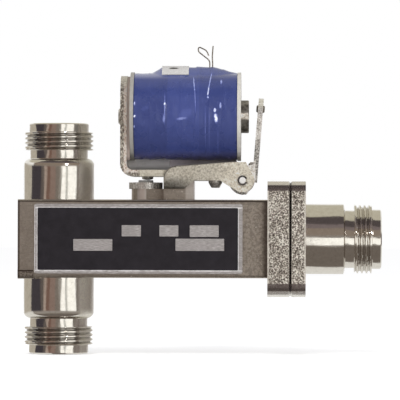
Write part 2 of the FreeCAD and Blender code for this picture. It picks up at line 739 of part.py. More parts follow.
def flange_screws():
    """Four countersunk screws, flush with the flange of the common port."""
    members = []
    for i, (y, z) in enumerate(screw_places):
        screw = body(f"flange_screw_{i}")
        revolve(screw, turned := sketch(screw, "XZ"))
        length = s.panel_flange_t + screw_grip
        outline(turned, [(0.0, -length), (s.flange_screw_radius, -length),
                         (s.flange_screw_radius, -head_len), (s.flange_screw_head, 0.0), (0.0, 0.0)])
        place(screw, seam_x + s.panel_flange_t, y, z, about=(0, 1, 0), angle=90)
        members.append(screw)
    group("flange_screws", members)


body_tube()
end_flange()
end_plug()
name_plate()
flange_screws()


# ---------------------------------------------------------------------------------------------
# Pedestal, guide bush, ring nut, push rod and its spring
# ---------------------------------------------------------------------------------------------


def pedestal():
    """Bar under the bracket: half-round at the bush, wedge-shaped where the bracket's web climbs."""
    made = keep(body("pedestal"))
    r = s.pedestal_end_radius
    right = ledge_x - s.running_gap
    slope = s.ledge_lift / s.ramp_len
    crest = pedestal_top + slope * (right - ramp_x)
    plan = sketch(made, "XY", out=half_tube + (crest - half_tube) / 2)
    outline(plan, [(rod_x, -r), (bracket_x, -r), (bracket_x, -cheek_in), (right, -cheek_in),
                   (right, cheek_in), (bracket_x, cheek_in), (bracket_x, r),
                   (rod_x, r, r), (rod_x - r, 0.0, r)])
    pad(made, plan, crest - half_tube)
    above = sketch(made, "XZ")
    far = rod_x - s.nut_radius * 2
    outline(above, [(far, pedestal_top), (ramp_x, pedestal_top), (right, crest),
                    (right, crest + s.sheet_t), (far, crest + s.sheet_t)])
    pocket(made, above, cheek_out * 2)
    holes = sketch(made, "XY", out=half_tube)
    ring(holes, rod_x, 0.0, s.bush_radius)
    for y in (-s.fix_spacing / 2, s.fix_spacing / 2):
        ring(holes, web_screw_x, y, s.fix_radius)
    pocket(made, holes, s.pedestal_t * 4)


def guide_bush():
    """Stepped bush: guide bore below, well for the cap and spring above."""
    made = keep(body("guide_bush"))
    nose = half_tube - s.tube_wall - s.bush_nose_len
    top = pedestal_top + s.bush_rise
    guide = s.rod_radius + s.running_gap
    revolve(made, turned := sketch(made, "XZ", across=rod_x))
    outline(turned, [(guide, nose), (s.bush_nose_radius, nose), (s.bush_nose_radius, half_tube),
                     (s.bush_radius, half_tube), (s.bush_radius, top), (s.bush_well_radius, top),
                     (s.bush_well_radius, nose + s.bush_floor), (guide, nose + s.bush_floor)])


def ring_nut():
    """Knurled ring that clamps the bush, recessed for the end of the arm."""
    made = keep(body("ring_nut"))
    top = pedestal_top + s.nut_height
    rise = pedestal_top + s.bush_rise
    r = s.nut_radius
    revolve(made, turned := sketch(made, "XZ"))
    outline(turned, [(s.bush_radius, pedestal_top), (r, pedestal_top), (r, top),
                     (s.nut_recess_radius, top), (s.nut_recess_radius, rise), (s.bush_radius, rise)])
    notch = sketch(made, "XY", out=pedestal_top)
    rectangle(notch, r - s.knurl_depth, -s.knurl_width / 2, r + s.knurl_depth, s.knurl_width / 2)
    groove = pocket(made, notch, s.nut_height * 3)
    doc.recompute()
    knurl = made.newObject("PartDesign::PolarPattern", "knurl")
    knurl.Originals = [groove]
    knurl.Axis = (notch, ["N_Axis"])
    knurl.Angle = 360
    bind(knurl, "Occurrences", s.knurl_count)
    made.Tip = knurl
    place(made, rod_x, 0.0, 0.0)


def push_rod():
    """Insulating rod with a cap: its rounded foot rests over the blade."""
    made = keep(body("push_rod"))
    foot = rod_travel / 2 + s.blade_t / 2 + s.contact_clear
    top = screw_tip_z - s.contact_clear / 2
    r = s.rod_radius
    c = s.running_gap * 3
    revolve(made, turned := sketch(made, "XZ", across=rod_x))
    outline(turned, [(0.0, foot), (r - c, foot), (r, foot + c), (r, top - s.cap_len),
                     (s.cap_radius, top - s.cap_len), (s.cap_radius, top - c),
                     (s.cap_radius - c, top), (0.0, top)])


def return_spring():
    """Compression spring in the well of the bush, under the cap of the rod. Six flat sides stand in
    for its round wire, which keeps the facets few."""
    made = keep(body("return_spring"))
    wire = s.spring_wire / 2
    floor = cavity - s.bush_nose_len + s.bush_floor
    low = floor + wire + s.spring_end_gap
    high = screw_tip_z - s.contact_clear / 2 - s.cap_len - wire - s.spring_end_gap
    section = sketch(made, "XZ")
    across = wire * cosine(30)
    outline(section, [(s.spring_radius + x, z) for x, z in (
        (across, -wire / 2), (across, wire / 2), (0.0, wire),
        (-across, wire / 2), (-across, -wire / 2), (0.0, -wire))])
    coil = made.newObject("PartDesign::AdditiveHelix", "spring_coil")
    coil.Profile = section
    coil.ReferenceAxis = (section, ["V_Axis"])
    coil.Mode = "height-turns-angle"
    bind(coil, "Height", high - low)
    bind(coil, "Turns", s.spring_turns)
    place(made, rod_x, 0.0, low)


pedestal()
guide_bush()
ring_nut()
push_rod()
return_spring()


# ---------------------------------------------------------------------------------------------
# Blade
# ---------------------------------------------------------------------------------------------


def contact_blade():
    """Springy bar from the fork to the side ports, drawn level and then tilted about the round bead
    at its root."""
    made = keep(body("contact_blade"))
    half = s.blade_width / 2
    root_half = s.blade_root_width / 2
    neck = -(s.fork_len + s.blade_width / 2)
    plan = sketch(made, "XY")
    outline(plan, [(-blade_reach, -half), (neck - half, -half), (neck, -root_half),
                   (s.blade_tail, -root_half), (s.blade_tail, root_half), (neck, root_half),
                   (neck - half, half), (-blade_reach, half, half), (-blade_reach - half, 0.0, half)])
    pad(made, plan, s.blade_t)
    hole = sketch(made, "XY")
    ring(hole, -blade_reach, 0.0, s.button_radius / 2)
    pocket(made, hole, s.blade_t * 2)
    bead = sketch(made, "XZ")
    ring(bead, 0.0, 0.0, s.fork_slot / 2 - s.running_gap)
    pad(made, bead, s.blade_root_width)
    tilt_blade(made)


def blade_contacts():
    """Riveted button with a domed face above and below the blade."""
    made = keep(body("blade_contacts"))
    face = s.blade_t / 2
    outer = face + s.button_len
    r = s.button_radius
    revolve(made, turned := sketch(made, "XZ", across=-blade_reach))
    outline(turned, [(0.0, -outer), (r / 2, -outer), (r, -outer + s.button_len / 2), (r, -face),
                     (r / 2, -face), (r / 2, face), (r, face), (r, outer - s.button_len / 2),
                     (r / 2, outer), (0.0, outer)])
    tilt_blade(made)


def tilt_blade(thing):
    place(thing, hinge_x, 0.0, 0.0, about=(0, 1, 0),
          angle=Size(math.degrees(math.atan(blade_slope)), f"atan({blade_slope.text})"))


contact_blade()
blade_contacts()


# ---------------------------------------------------------------------------------------------
# Hinge bracket, yoke and coil
# ---------------------------------------------------------------------------------------------


def lobe_point(radius, angle):
    return pivot_x + radius * cosine(angle), pivot_z + radius * sine(angle)


def plate_face(z):
    """X of the pole side of the armature at height z, at rest."""
    return pivot_x + s.plate_offset / cosine(s.plate_lean) + (z - pivot_z) * tangent(s.plate_lean)


def hinge_bracket():
    """Folded channel: web on the pedestal, ledges under the yoke, two cheeks out to the pivot."""
    made = keep(body("hinge_bracket"))
    top = ledge_z + s.cheek_height + s.sheet_t
    lobe_in = lobe_point(s.cheek_lobe, 240)
    lobe_out = lobe_point(s.cheek_lobe, 20)
    corner = s.cheek_height
    side = sketch(made, "XZ")
    outline(side, [
        (bracket_x, pedestal_top), (ramp_x, pedestal_top), (ledge_x, ledge_z),
        (ledge_end_x, ledge_z), (*lobe_in, s.cheek_lobe), lobe_out,
        (pivot_x + s.pin_radius, top), (pivot_x - s.cheek_lobe, top),
        (bracket_x + corner, top - s.sheet_t, corner), (bracket_x, top - s.sheet_t - s.yoke_t),
    ])
    pad(made, side, cheek_out * 2)
    inside = sketch(made, "XZ")
    lift = s.sheet_t
    far = pivot_x + s.cheek_lobe * 2
    left = bracket_x - s.sheet_t
    outline(inside, [
        (left, pedestal_top + lift), (ramp_x - lift / 2, pedestal_top + lift),
        (ledge_x - lift / 2, leg_z), (ledge_end_x, leg_z), (ledge_end_x, half_tube),
        (far, half_tube), (far, top + lift), (left, top + lift),
    ])
    pocket(made, inside, s.cheek_gap)
    arm_way = sketch(made, "XY", out=ledge_z)
    rectangle(arm_way, ramp_x + lift / 2, -s.ledge_opening / 2, ledge_end_x + lift, s.ledge_opening / 2)
    pocket(made, arm_way, s.ledge_lift * 2 + lift * 2)
    screws = sketch(made, "XY", out=pedestal_top)
    for y in (-s.fix_spacing / 2, s.fix_spacing / 2):
        ring(screws, web_screw_x, y, s.fix_radius)
    pocket(made, screws, lift * 3)
    ledge_holes = sketch(made, "XY", out=ledge_z + lift / 2)
    for y in (-s.fix_spacing / 2, s.fix_spacing / 2):
        ring(ledge_holes, yoke_screw_x, y, s.fix_radius)
    pocket(made, ledge_holes, lift * 2)
    bore = sketch(made, "XZ")
    ring(bore, pivot_x, pivot_z, s.pin_radius)
    pocket(made, bore, cheek_out * 3)
    dress(made, "Fillet", lambda e: near(middle(e).z, pedestal_top) and along(e, "x")
          and near(abs(middle(e).y), cheek_out), s.fold_radius)


def pivot_pin():
    """Pin pressed in the cheeks, with a groove for a clip at each end."""
    made = keep(body("pivot_pin"))
    end = cheek_out + s.pin_proud
    outer = cheek_out + s.clip_inset + s.clip_t
    inner = cheek_out + s.clip_inset
    r = s.pin_radius
    g = s.groove_radius
    c = r - g
    revolve(made, turned := sketch(made, "YZ", up=pivot_z, out=pivot_x), "H_Axis")
    outline(turned, [(-end, 0.0), (end, 0.0), (end, r - c), (end - c / 2, r), (outer, r), (outer, g),
                     (inner, g), (inner, r), (-inner, r), (-inner, g), (-outer, g), (-outer, r),
                     (-end + c / 2, r), (-end, r - c)])


def retaining_clips():
    """Two open snap rings in the grooves of the pin."""
    members = []
    for i, side in enumerate((-1, 1)):
        clip = body(f"retaining_clip_{i}")
        middle_y = (cheek_out + s.clip_inset + s.clip_t / 2) * side
        disc = sketch(clip, "XZ", across=pivot_x, up=pivot_z, out=-middle_y)
        ring(disc, 0.0, 0.0, s.clip_radius)
        ring(disc, 0.0, 0.0, s.groove_radius)
        pad(clip, disc, s.clip_t)
        mouth = sketch(clip, "XZ", across=pivot_x, up=pivot_z, out=-middle_y)
        rectangle(mouth, 0.0, -s.clip_mouth / 2, s.clip_radius * 2, s.clip_mouth / 2)
        pocket(clip, mouth, s.clip_t * 2)
        members.append(clip)
    group("retaining_clips", members)


def round_top(made, half, centre_z, x):
    """Takes the corners off the top of an upright plate, leaving a half circle."""
    high = half * 2
    corners = sketch(made, "YZ", up=centre_z, out=x)
    outline(corners, [(-high, 0.0), (-half, 0.0, -half), (0.0, half, -half), (half, 0.0),
                      (high, 0.0), (high, high), (-high, high)])
    pocket(made, corners, half * 4)


def yoke():
    """Iron angle: upright behind the coil, forked leg under it, shoulders against the bracket."""
    made = keep(body("yoke"))
    t = s.yoke_t
    bend_x = yoke_x + t + s.yoke_bend
    bend_z = leg_top + s.yoke_bend
    top = coil_z + s.yoke_top
    right = plate_face(leg_z) - s.yoke_gap
    side = sketch(made, "XZ")
    outline(side, [(bend_x, leg_z), (right, leg_z), (right, leg_top), (bend_x, leg_top, -s.yoke_bend),
                   (yoke_x + t, bend_z), (yoke_x + t, top), (yoke_x, top),
                   (yoke_x, bend_z, s.yoke_bend + t)])
    pad(made, side, s.cheek_gap)
    shoulders = sketch(made, "XY", out=leg_z + t / 2)
    rectangle(shoulders, yoke_x + s.shoulder_start, -cheek_out, bracket_x, cheek_out)
    pad(made, shoulders, t)
    slot = sketch(made, "XY", out=leg_z + t / 2)
    rectangle(slot, screw_x - s.arm_half - s.slot_clear, -s.slot_half, right + t, s.slot_half)
    pocket(made, slot, t * 2)
    narrow = sketch(made, "XY", out=leg_z + t / 2)
    start = ledge_end_x + s.sheet_t
    rectangle(narrow, start, s.prong_half, right + t, cheek_in + t)
    rectangle(narrow, start, -cheek_in - t, right + t, -s.prong_half)
    pocket(made, narrow, t * 2)
    round_top(made, cheek_in, coil_z + s.yoke_top - cheek_in, yoke_x + t / 2)
    rivet = sketch(made, "YZ", up=coil_z, out=yoke_x + t / 2)
    ring(rivet, 0.0, 0.0, s.tenon_radius)
    pocket(made, rivet, t * 2)
    screws = sketch(made, "XY", out=leg_z + t / 2)
    for y in (-s.fix_spacing / 2, s.fix_spacing / 2):
        ring(screws, yoke_screw_x, y, s.fix_radius)
    pocket(made, screws, t * 2)


def core():
    """Iron core, riveted to the yoke at its thin end, pole face at the other."""
    made = keep(body("core"))
    back = yoke_x - s.rivet_len
    inner = yoke_x + s.yoke_t
    chamfer = s.rivet_len / 2
    revolve(made, turned := sketch(made, "XZ", up=coil_z), "H_Axis")
    outline(turned, [(back, 0.0), (pole_x, 0.0), (pole_x, s.core_radius - chamfer / 2),
                     (pole_x - chamfer / 2, s.core_radius), (inner, s.core_radius),
                     (inner, s.tenon_radius), (yoke_x, s.tenon_radius), (yoke_x, s.rivet_radius),
                     (back + chamfer, s.rivet_radius), (back, s.rivet_radius - chamfer)])


def bobbin():
    """Moulded bobbin: tube, two flanges, boss against the yoke."""
    made = keep(body("bobbin"))
    back = yoke_x + s.yoke_t
    tube = s.core_radius + s.bobbin_wall
    end = flange_b + s.bobbin_flange_t
    revolve(made, turned := sketch(made, "XZ", up=coil_z), "H_Axis")
    outline(turned, [(back, s.core_radius), (end, s.core_radius), (end, s.bobbin_radius),
                     (flange_b, s.bobbin_radius), (flange_b, tube), (winding_x, tube),
                     (winding_x, s.bobbin_radius), (flange_a, s.bobbin_radius),
                     (flange_a, s.boss_radius), (back, s.boss_radius)])


def winding():
    """The turns of wire, as one annulus."""
    made = keep(body("winding"))
    revolve(made, turned := sketch(made, "XZ", up=coil_z), "H_Axis")
    rectangle(turned, winding_x, s.core_radius + s.bobbin_wall, flange_b, winding_radius)


def tape_wrap():
    """Tape round the winding, with the hump where the leads come out under it."""
    made = keep(body("tape_wrap"))
    mid = winding_x + s.coil_len / 2
    outer = sketch(made, "YZ", up=coil_z, out=mid)
    ring(outer, 0.0, 0.0, winding_radius + s.tape_t)
    pad(made, outer, s.coil_len)
    low = s.hump_radius - s.hump_fall
    end = hump_x + s.hump_len
    revolve(made, hump := sketch(made, "XZ", up=hump_z), "H_Axis")
    outline(hump, [(hump_x - s.hump_slope_left, 0.0), (end + s.hump_slope_right, 0.0),
                   (end + s.hump_slope_right, low), (end, s.hump_radius), (hump_x, s.hump_radius),
                   (hump_x - s.hump_slope_left, low)])
    inner = sketch(made, "YZ", up=coil_z, out=mid)
    ring(inner, 0.0, 0.0, winding_radius)
    pocket(made, inner, s.coil_len * 2)


def tag():
    """Paper tag stuck round the front of the hump."""
    made = keep(body("tag"))
    r = s.hump_radius
    q = s.hump_radius + s.tag_t
    c = cosine(s.tag_angle)
    d = sine(s.tag_angle)
    section = sketch(made, "YZ", up=hump_z, out=hump_x + s.tag_len / 2)
    outline(section, [(0.0, r), (0.0, q, q), (-d * q, c * q), (-d * r, c * r, -r)])
    pad(made, section, s.tag_len)


def wire_along(label, points):
    """Stiff wire through the points, its corners rounded by tangent arcs, as one swept tube."""
    corners = [FreeCAD.Vector(*p) for p in points]
    edges = []
    start = corners[0]
    for before, corner, after in zip(corners, corners[1:], corners[2:]):
        back = (before - corner).normalize()
        ahead = (after - corner).normalize()
        reach = min((before - corner).Length, (after - corner).Length) * 0.45
        first = corner + back * reach
        last = corner + ahead * reach
        turn = math.pi - back.getAngle(ahead)
        bisector = (back + ahead).normalize()
        radius = reach / math.tan(turn / 2)
        crown = corner + bisector * (radius / math.cos(turn / 2) - radius)
        edges += [Part.LineSegment(start, first).toShape(), Part.Arc(first, crown, last).toShape()]
        start = last
    edges.append(Part.LineSegment(start, corners[-1]).toShape())
    path = Part.Wire(edges)
    section = Part.Wire([Part.Circle(corners[0], corners[1] - corners[0], s.lead_radius).toShape()])
    made = doc.addObject("Part::Feature", label)
    made.Label = label
    made.Shape = path.makePipeShell([section], True, True)
    return keep(made)


def coil_leads():
    """Two bare ends of the coil wire: one bent over into a small loop, one straight."""
    x = hump_x + s.lead_out
    foot = hump_z + s.hump_radius
    top = foot + s.lead_top
    wire_along("coil_lead_looped", [
        (x, 0.0, foot), (x, 0.0, foot + 1.5), (x - 2.7, 0.0, top - 1.3),
        (x - 2.65, 0.0, top - 0.15), (x - 0.75, 0.0, top - 1.05), (x - 0.25, 0.0, top - 2.3)])
    x = x + s.lead_space
    wire_along("coil_lead_straight", [
        (x, 0.0, foot), (x, 0.0, foot + 1.0), (x - 0.1, 0.15, foot + s.lead_top / 2), (x + 0.1, 0.2, top)])


def coil_pad():
    """Rubber strip on one prong of the yoke that steadies the coil from below."""
    made = keep(body("coil_pad"))
    bend = s.yoke_bend
    back = yoke_x + s.yoke_t
    end = back + bend + s.pad_len
    high = coil_z - s.core_radius
    side = sketch(made, "XZ", out=-(s.slot_half + s.ear_t / 2 + s.pad_width / 2))
    outline(side, [(back, leg_top + bend, bend), (back + bend, leg_top), (end, leg_top),
                   (end, high), (back + s.boss_len, high), (back + s.boss_len, coil_z - s.bobbin_radius),
                   (back, coil_z - s.bobbin_radius)])
    pad(made, side, s.pad_width)
    round_bed = sketch(made, "YZ", up=coil_z, out=end)
    ring(round_bed, 0.0, 0.0, s.bobbin_radius)
    pocket(made, round_bed, s.pad_len * 4)


hinge_bracket()
pivot_pin()
retaining_clips()
yoke()
core()
bobbin()
winding()
tape_wrap()
tag()
coil_leads()
coil_pad()


# ---------------------------------------------------------------------------------------------
# Armature with its arm
# ---------------------------------------------------------------------------------------------


def armature():
    """Iron plate with a round top and two ears back to the pivot. Drawn upright about the pivot,
    then leaned about it."""
    made = keep(body("armature"))
    t = s.armature_t
    top = (coil_z - pivot_z + s.plate_rise) / cosine(s.plate_lean)
    side = sketch(made, "XZ")
    rectangle(side, s.plate_offset, -s.plate_foot, s.plate_offset + t, top)
    pad(made, side, s.armature_half * 2)
    round_top(made, s.armature_half, top - s.armature_half, s.plate_offset)
    for side_of in (-1, 1):
        centre_y = (s.armature_half - s.ear_t / 2) * side_of
        ear = sketch(made, "XZ", out=-centre_y)
        lobe = [(s.ear_lobe * cosine(a), s.ear_lobe * sine(a)) for a in (125, 215, 290)]
        outline(ear, [(s.plate_offset + t / 2, s.ear_top), (*lobe[0], s.ear_lobe),
                      (*lobe[1], s.ear_lobe), lobe[2], (s.plate_offset + t / 2, -s.plate_foot)])
        pad(made, ear, s.ear_t)
    bore = sketch(made, "XZ")
    ring(bore, 0.0, 0.0, s.pin_radius + s.running_gap)
    pocket(made, bore, s.armature_half * 3)
    holes = sketch(made, "YZ", out=s.plate_offset + t / 2)
    ring(holes, -s.tab_rivet_space / 2, tab_rivet_height, s.tab_rivet_radius)
    ring(holes, s.tab_rivet_space / 2, tab_rivet_height, s.tab_rivet_radius)
    ring(holes, 0.0, residual_height, s.residual_radius)
    pocket(made, holes, t * 2)
    lean_back(made)


def lean_back(thing):
    """Puts a piece that was drawn upright about the pivot in its place at rest."""
    place(thing, pivot_x, 0.0, pivot_z, about=(0, 1, 0), angle=s.plate_lean)


def actuator_arm():
    """Flat arm through the fork of the yoke, its tab riveted to the armature."""
    made = keep(body("actuator_arm"))
    t = s.arm_t
    tab_t = s.arm_t / cosine(s.plate_lean)
    top = arm_z + s.arm_tab
    left = screw_x - s.arm_half
    side = sketch(made, "XZ")
    outline(side, [(left, arm_z), (plate_face(arm_z) - t, arm_z, s.arm_bend), (plate_face(arm_z + t), arm_z + t),
                   (plate_face(top), top), (plate_face(top) - tab_t, top),
                   (plate_face(arm_z + t) - tab_t, arm_z + t), (left, arm_z + t)])
    pad(made, side, s.arm_half * 2)
    r = s.arm_half
    tip = sketch(made, "XY", across=screw_x, out=arm_z + t / 2)
    outline(tip, [(0.0, -r * 2), (0.0, -r, -r), (-r, 0.0, -r), (0.0, r), (0.0, r * 2),
                  (-r * 2, r * 2), (-r * 2, -r * 2)])
    pocket(made, tip, t * 2)
    hole = sketch(made, "XY", out=arm_z)
    ring(hole, screw_x, 0.0, s.screw_radius)
    pocket(made, hole, t * 4)
    level = pivot_z + tab_rivet_height * cosine(s.plate_lean) - s.plate_offset * sine(s.plate_lean)
    rivets = sketch(made, "YZ", up=level, out=plate_face(level))
    rivets.AttachmentOffset.Rotation = FreeCAD.Rotation(FreeCAD.Vector(1, 0, 0), 1.0)
    bind(rivets, "AttachmentOffset.Rotation.Angle", s.plate_lean)
    ring(rivets, -s.tab_rivet_space / 2, 0.0, s.tab_rivet_radius)
    ring(rivets, s.tab_rivet_space / 2, 0.0, s.tab_rivet_radius)
    pocket(made, rivets, t * 4)


def arm_rivets():
    """Two rivets through the tab and the armature, flush with the armature's outer side."""
    members = []
    for i, y in enumerate((-s.tab_rivet_space / 2, s.tab_rivet_space / 2)):
        rivet = body(f"arm_rivet_{i}")
        left = s.plate_offset - s.arm_t
        right = s.plate_offset + s.armature_t
        revolve(rivet, turned := sketch(rivet, "XZ", up=tab_rivet_height, out=-y), "H_Axis")
        outline(turned, [(left - s.tab_rivet_len, 0.0), (right, 0.0), (right, s.tab_rivet_radius),
                         (left, s.tab_rivet_radius), (left, s.tab_rivet_head),
                         (left - s.tab_rivet_len, s.tab_rivet_radius)])
        lean_back(rivet)
        members.append(rivet)
    group("arm_rivets", members)


def residual_pin():
    """Brass pin that keeps the armature from sticking to the pole face."""
    made = keep(body("residual_pin"))
    r = s.residual_radius
    edge = s.residual_proud / 2
    left = s.plate_offset - s.residual_proud
    right = s.plate_offset + s.armature_t + s.residual_proud
    revolve(made, turned := sketch(made, "XZ", up=residual_height), "H_Axis")
    outline(turned, [(left, 0.0), (right, 0.0), (right, r - edge), (right - edge, r),
                     (left + edge, r), (left, r - edge)])
    lean_back(made)


def adjusting_screw():
    """Screw in the end of the arm whose domed head presses the rod, also when the arm is tilted."""
    made = keep(body("adjusting_screw"))
    r = s.screw_head_radius
    dome = s.screw_dome
    edge_z = screw_tip_z + dome - root(dome * dome - r * r)
    shoulder = screw_tip_z + s.screw_head_len
    revolve(made, turned := sketch(made, "XZ", across=screw_x))
    outline(turned, [(0.0, screw_tip_z, dome), (r, edge_z), (r, shoulder), (s.screw_radius, shoulder),
                     (s.screw_radius, arm_z + s.arm_t), (0.0, arm_z + s.arm_t)])


def lock_nut():
    """Thin hexagon nut between the screw's head and the arm."""
    made = keep(body("lock_nut"))
    r = s.lock_nut_radius
    low = screw_tip_z + s.screw_head_len
    half = r * cosine(30)
    plan = sketch(made, "XY", across=screw_x, out=(low + arm_z) / 2)
    outline(plan, [(r, 0.0), (r / 2, half), (-r / 2, half), (-r, 0.0), (-r / 2, -half), (r / 2, -half)])
    ring(plan, 0.0, 0.0, s.screw_radius)
    pad(made, plan, arm_z - low)


tab_rivet_height = s.arm_lift + (s.arm_tab + s.arm_t) / 2 + s.plate_offset * sine(s.plate_lean)
armature()
actuator_arm()
arm_rivets()
residual_pin()
adjusting_screw()
lock_nut()


# ---------------------------------------------------------------------------------------------
# Fixing screws of the bracket and the yoke
# ---------------------------------------------------------------------------------------------


def fixing_pair(label, x, seat, head_len, shank_to, direction):
    """Two domed screws, side by side across the bracket. Direction 1 has the heads on top."""
    members = []
    for i, y in enumerate((-s.fix_spacing / 2, s.fix_spacing / 2)):
        screw = body(f"{label[:-1]}_{i}")
        revolve(screw, turned := sketch(screw, "XZ"))
        reach = (seat - shank_to) if direction > 0 else (shank_to - seat)
        outline(turned, [(0.0, -reach), (s.fix_radius, -reach), (s.fix_radius, 0.0),
                         (s.fix_head_radius, 0.0), (s.fix_head_radius, head_len / 3),
                         (s.fix_head_radius * 0.6, head_len), (0.0, head_len)])
        place(screw, x, y, seat, about=(1, 0, 0), angle=0 if direction > 0 else 180)
        members.append(screw)
    group(label, members)


fixing_pair("bracket_screws", web_screw_x, pedestal_top + s.sheet_t, s.web_head_len, cavity, 1)
fixing_pair("yoke_screws", yoke_screw_x, ledge_z, s.fix_head_len, leg_top, -1)


# ---------------------------------------------------------------------------------------------
# Check and write
# ---------------------------------------------------------------------------------------------

doc.recompute()
for thing in doc.Objects:
    if "Invalid" in thing.State or "Error" in thing.State:
        raise RuntimeError(f"{thing.Label}: {thing.State}")
os.makedirs("parts", exist_ok=True)
for piece in subparts:
    if piece.Shape.isNull() or not piece.Shape.isValid() or not piece.Shape.Solids:
        raise RuntimeError(f"{piece.Label}: no valid solid")
    piece.Shape.exportStep(f"parts/{piece.Label}.step")
    print(f"{piece.Label:24s} {len(piece.Shape.Solids)} solid(s) {piece.Shape.Volume:10.2f} mm3")
print(f"{len(subparts)} sub-parts")
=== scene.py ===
# %% [markdown]
# # Coaxial antenna switch
# This lesson dresses a small relay that switches an antenna cable. Three threaded ports of bright nickel stand on a
# square tube, and an open coil on top pulls an iron plate that works the contact inside. The solids come from the CAD
# model, and here they get surfaces: threads, tape, a name plate and a finish for each metal.
# Lengths are in millimetres, and along the tube they start from the axis of the two side ports. They are turned into
# the frame's metres where they go into Blender.

# %% Load the frame
import math

import bmesh
import bpy
import numpy as np
from mathutils import Matrix, Vector


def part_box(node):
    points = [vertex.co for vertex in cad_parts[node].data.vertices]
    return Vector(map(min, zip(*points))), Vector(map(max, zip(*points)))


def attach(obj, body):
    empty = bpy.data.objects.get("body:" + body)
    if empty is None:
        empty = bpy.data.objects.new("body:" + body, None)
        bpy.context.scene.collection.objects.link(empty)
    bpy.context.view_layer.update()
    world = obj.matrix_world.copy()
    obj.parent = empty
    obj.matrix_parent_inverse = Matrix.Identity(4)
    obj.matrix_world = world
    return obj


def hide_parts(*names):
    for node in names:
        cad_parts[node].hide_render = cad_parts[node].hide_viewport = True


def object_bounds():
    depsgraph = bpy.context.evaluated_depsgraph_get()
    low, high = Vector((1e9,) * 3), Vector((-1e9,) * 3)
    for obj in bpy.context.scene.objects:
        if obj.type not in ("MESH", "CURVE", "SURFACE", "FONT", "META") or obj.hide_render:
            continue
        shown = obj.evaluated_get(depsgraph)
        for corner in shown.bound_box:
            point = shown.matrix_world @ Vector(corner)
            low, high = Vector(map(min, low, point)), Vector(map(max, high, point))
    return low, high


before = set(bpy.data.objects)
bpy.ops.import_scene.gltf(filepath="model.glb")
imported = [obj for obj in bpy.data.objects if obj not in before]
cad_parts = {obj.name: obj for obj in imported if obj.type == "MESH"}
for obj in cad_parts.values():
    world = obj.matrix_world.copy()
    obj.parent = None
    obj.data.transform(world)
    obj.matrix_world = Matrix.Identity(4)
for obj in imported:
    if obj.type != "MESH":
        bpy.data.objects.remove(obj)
cad_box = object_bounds()
MM = 0.001
PORTS_X = -70.4507  # axis of the two side ports in the frame, whose origin is at the common port


def in_mm(points):
    """Points of the frame in mm, along X from the ports' axis."""
    return (np.array(points, float) / MM - [PORTS_X, 0.0, 0.0]).tolist()


def in_metres(points):
    """The way back, into the frame's metres."""
    return (np.array(points) + [PORTS_X, 0.0, 0.0]) * MM


print("CAD box in mm, in the frame:", np.round(np.array(cad_box) / MM, 2).tolist())


# %% [markdown]
# ## Helpers
# A new object, a new node and a surface from a grid of points are asked for again and again.

# %% Objects, nodes and grids
def add_object(name, data):
    """A new object in the scene, at the origin."""
    thing = bpy.data.objects.new(name, data)
    bpy.context.scene.collection.objects.link(thing)
    return thing


def feed(tree, socket, value):
    """A socket takes another node's output, a number or a colour."""
    if isinstance(value, bpy.types.NodeSocket):
        tree.links.new(value, socket)
    elif socket.type == "RGBA":
        socket.default_value = (*(value if isinstance(value, tuple) else (value,) * 3), 1)
    else:
        socket.default_value = value


def add_node(tree, kind, inputs, output=0, **settings):
    """Adds a node with some settings, feeds its inputs by name or number, and hands back one of its outputs."""
    node = tree.nodes.new(kind)
    for name, value in settings.items():
        setattr(node, name, value)
    for key, value in inputs.items():
        feed(tree, node.inputs[key], value)
    return node.outputs[output]


def grid_faces(rows, columns, wrap_rows=False, wrap_columns=False):
    """Each point of a grid joins its right and upper neighbours to a four-sided face. A wrapped direction also joins
    the last row or column to the first."""
    i, j = np.meshgrid(np.arange(rows - 1 + wrap_rows), np.arange(columns - 1 + wrap_columns), indexing="ij")
    right, above = (j + 1) % columns, (i + 1) % rows
    faces = [i * columns + j, i * columns + right, above * columns + right, above * columns + j]
    return np.stack(faces, -1).reshape(-1, 4)


def grid_mesh(name, spot, wrap_rows=False, wrap_columns=False, smooth=True):
    """A surface from a grid of points, rows x columns x 3 in metres."""
    mesh = bpy.data.meshes.new(name)
    mesh.from_pydata(spot.reshape(-1, 3), [], grid_faces(*spot.shape[:2], wrap_rows, wrap_columns))
    mesh.polygons.foreach_set("use_smooth", np.full(len(mesh.polygons), smooth))
    mesh.update()
    return add_object(name, mesh)


def ease(share):
    """A share from 0 to 1 with soft ends: 3 s^2 - 2 s^3."""
    return share * share * (3 - 2 * share)


# %% [markdown]
# ## Camera
# A long lens far away keeps the ports' barrels parallel. The camera is described as a surveyor would: it turns by the
# yaw about Z, then by the pitch about its own X, then by the roll about the line of sight, and stands so far back. The
# rows of the turning matrix R are the camera's three directions, and its place is where R times the place, plus the
# offset, gives nought.

# %% Camera
YAW, PITCH, ROLL = (math.radians(v) for v in (-1.13, -0.33, -0.15))
OFFSET = (-2.78, 800.0, -8.97)  # right, forward, up
AIM = (30.0, 0.0, 0.0)  # the point on the tube that the turns go about
FOCAL = 8.6255  # focal length as a share of the picture's width
SENSOR = 36.0  # width of the picture inside the camera

turn = np.array(Matrix.Rotation(-ROLL, 3, "Y") @ Matrix.Rotation(PITCH, 3, "X") @ Matrix.Rotation(YAW, 3, "Z"))
place = in_metres(AIM - OFFSET @ turn)
lens = bpy.data.cameras.new("camera")
lens.sensor_fit, lens.sensor_width, lens.lens = "HORIZONTAL", SENSOR, SENSOR * FOCAL
lens.clip_start, lens.clip_end = 0.01, 20.0
camera = add_object("camera", lens)
camera.matrix_world = Matrix.Translation(place) @ Matrix((turn[0], turn[2], -turn[1])).transposed().to_4x4()
bpy.context.scene.camera = camera
bpy.context.scene.view_settings.view_transform = "Standard"
print("camera stands at", place.round(4))


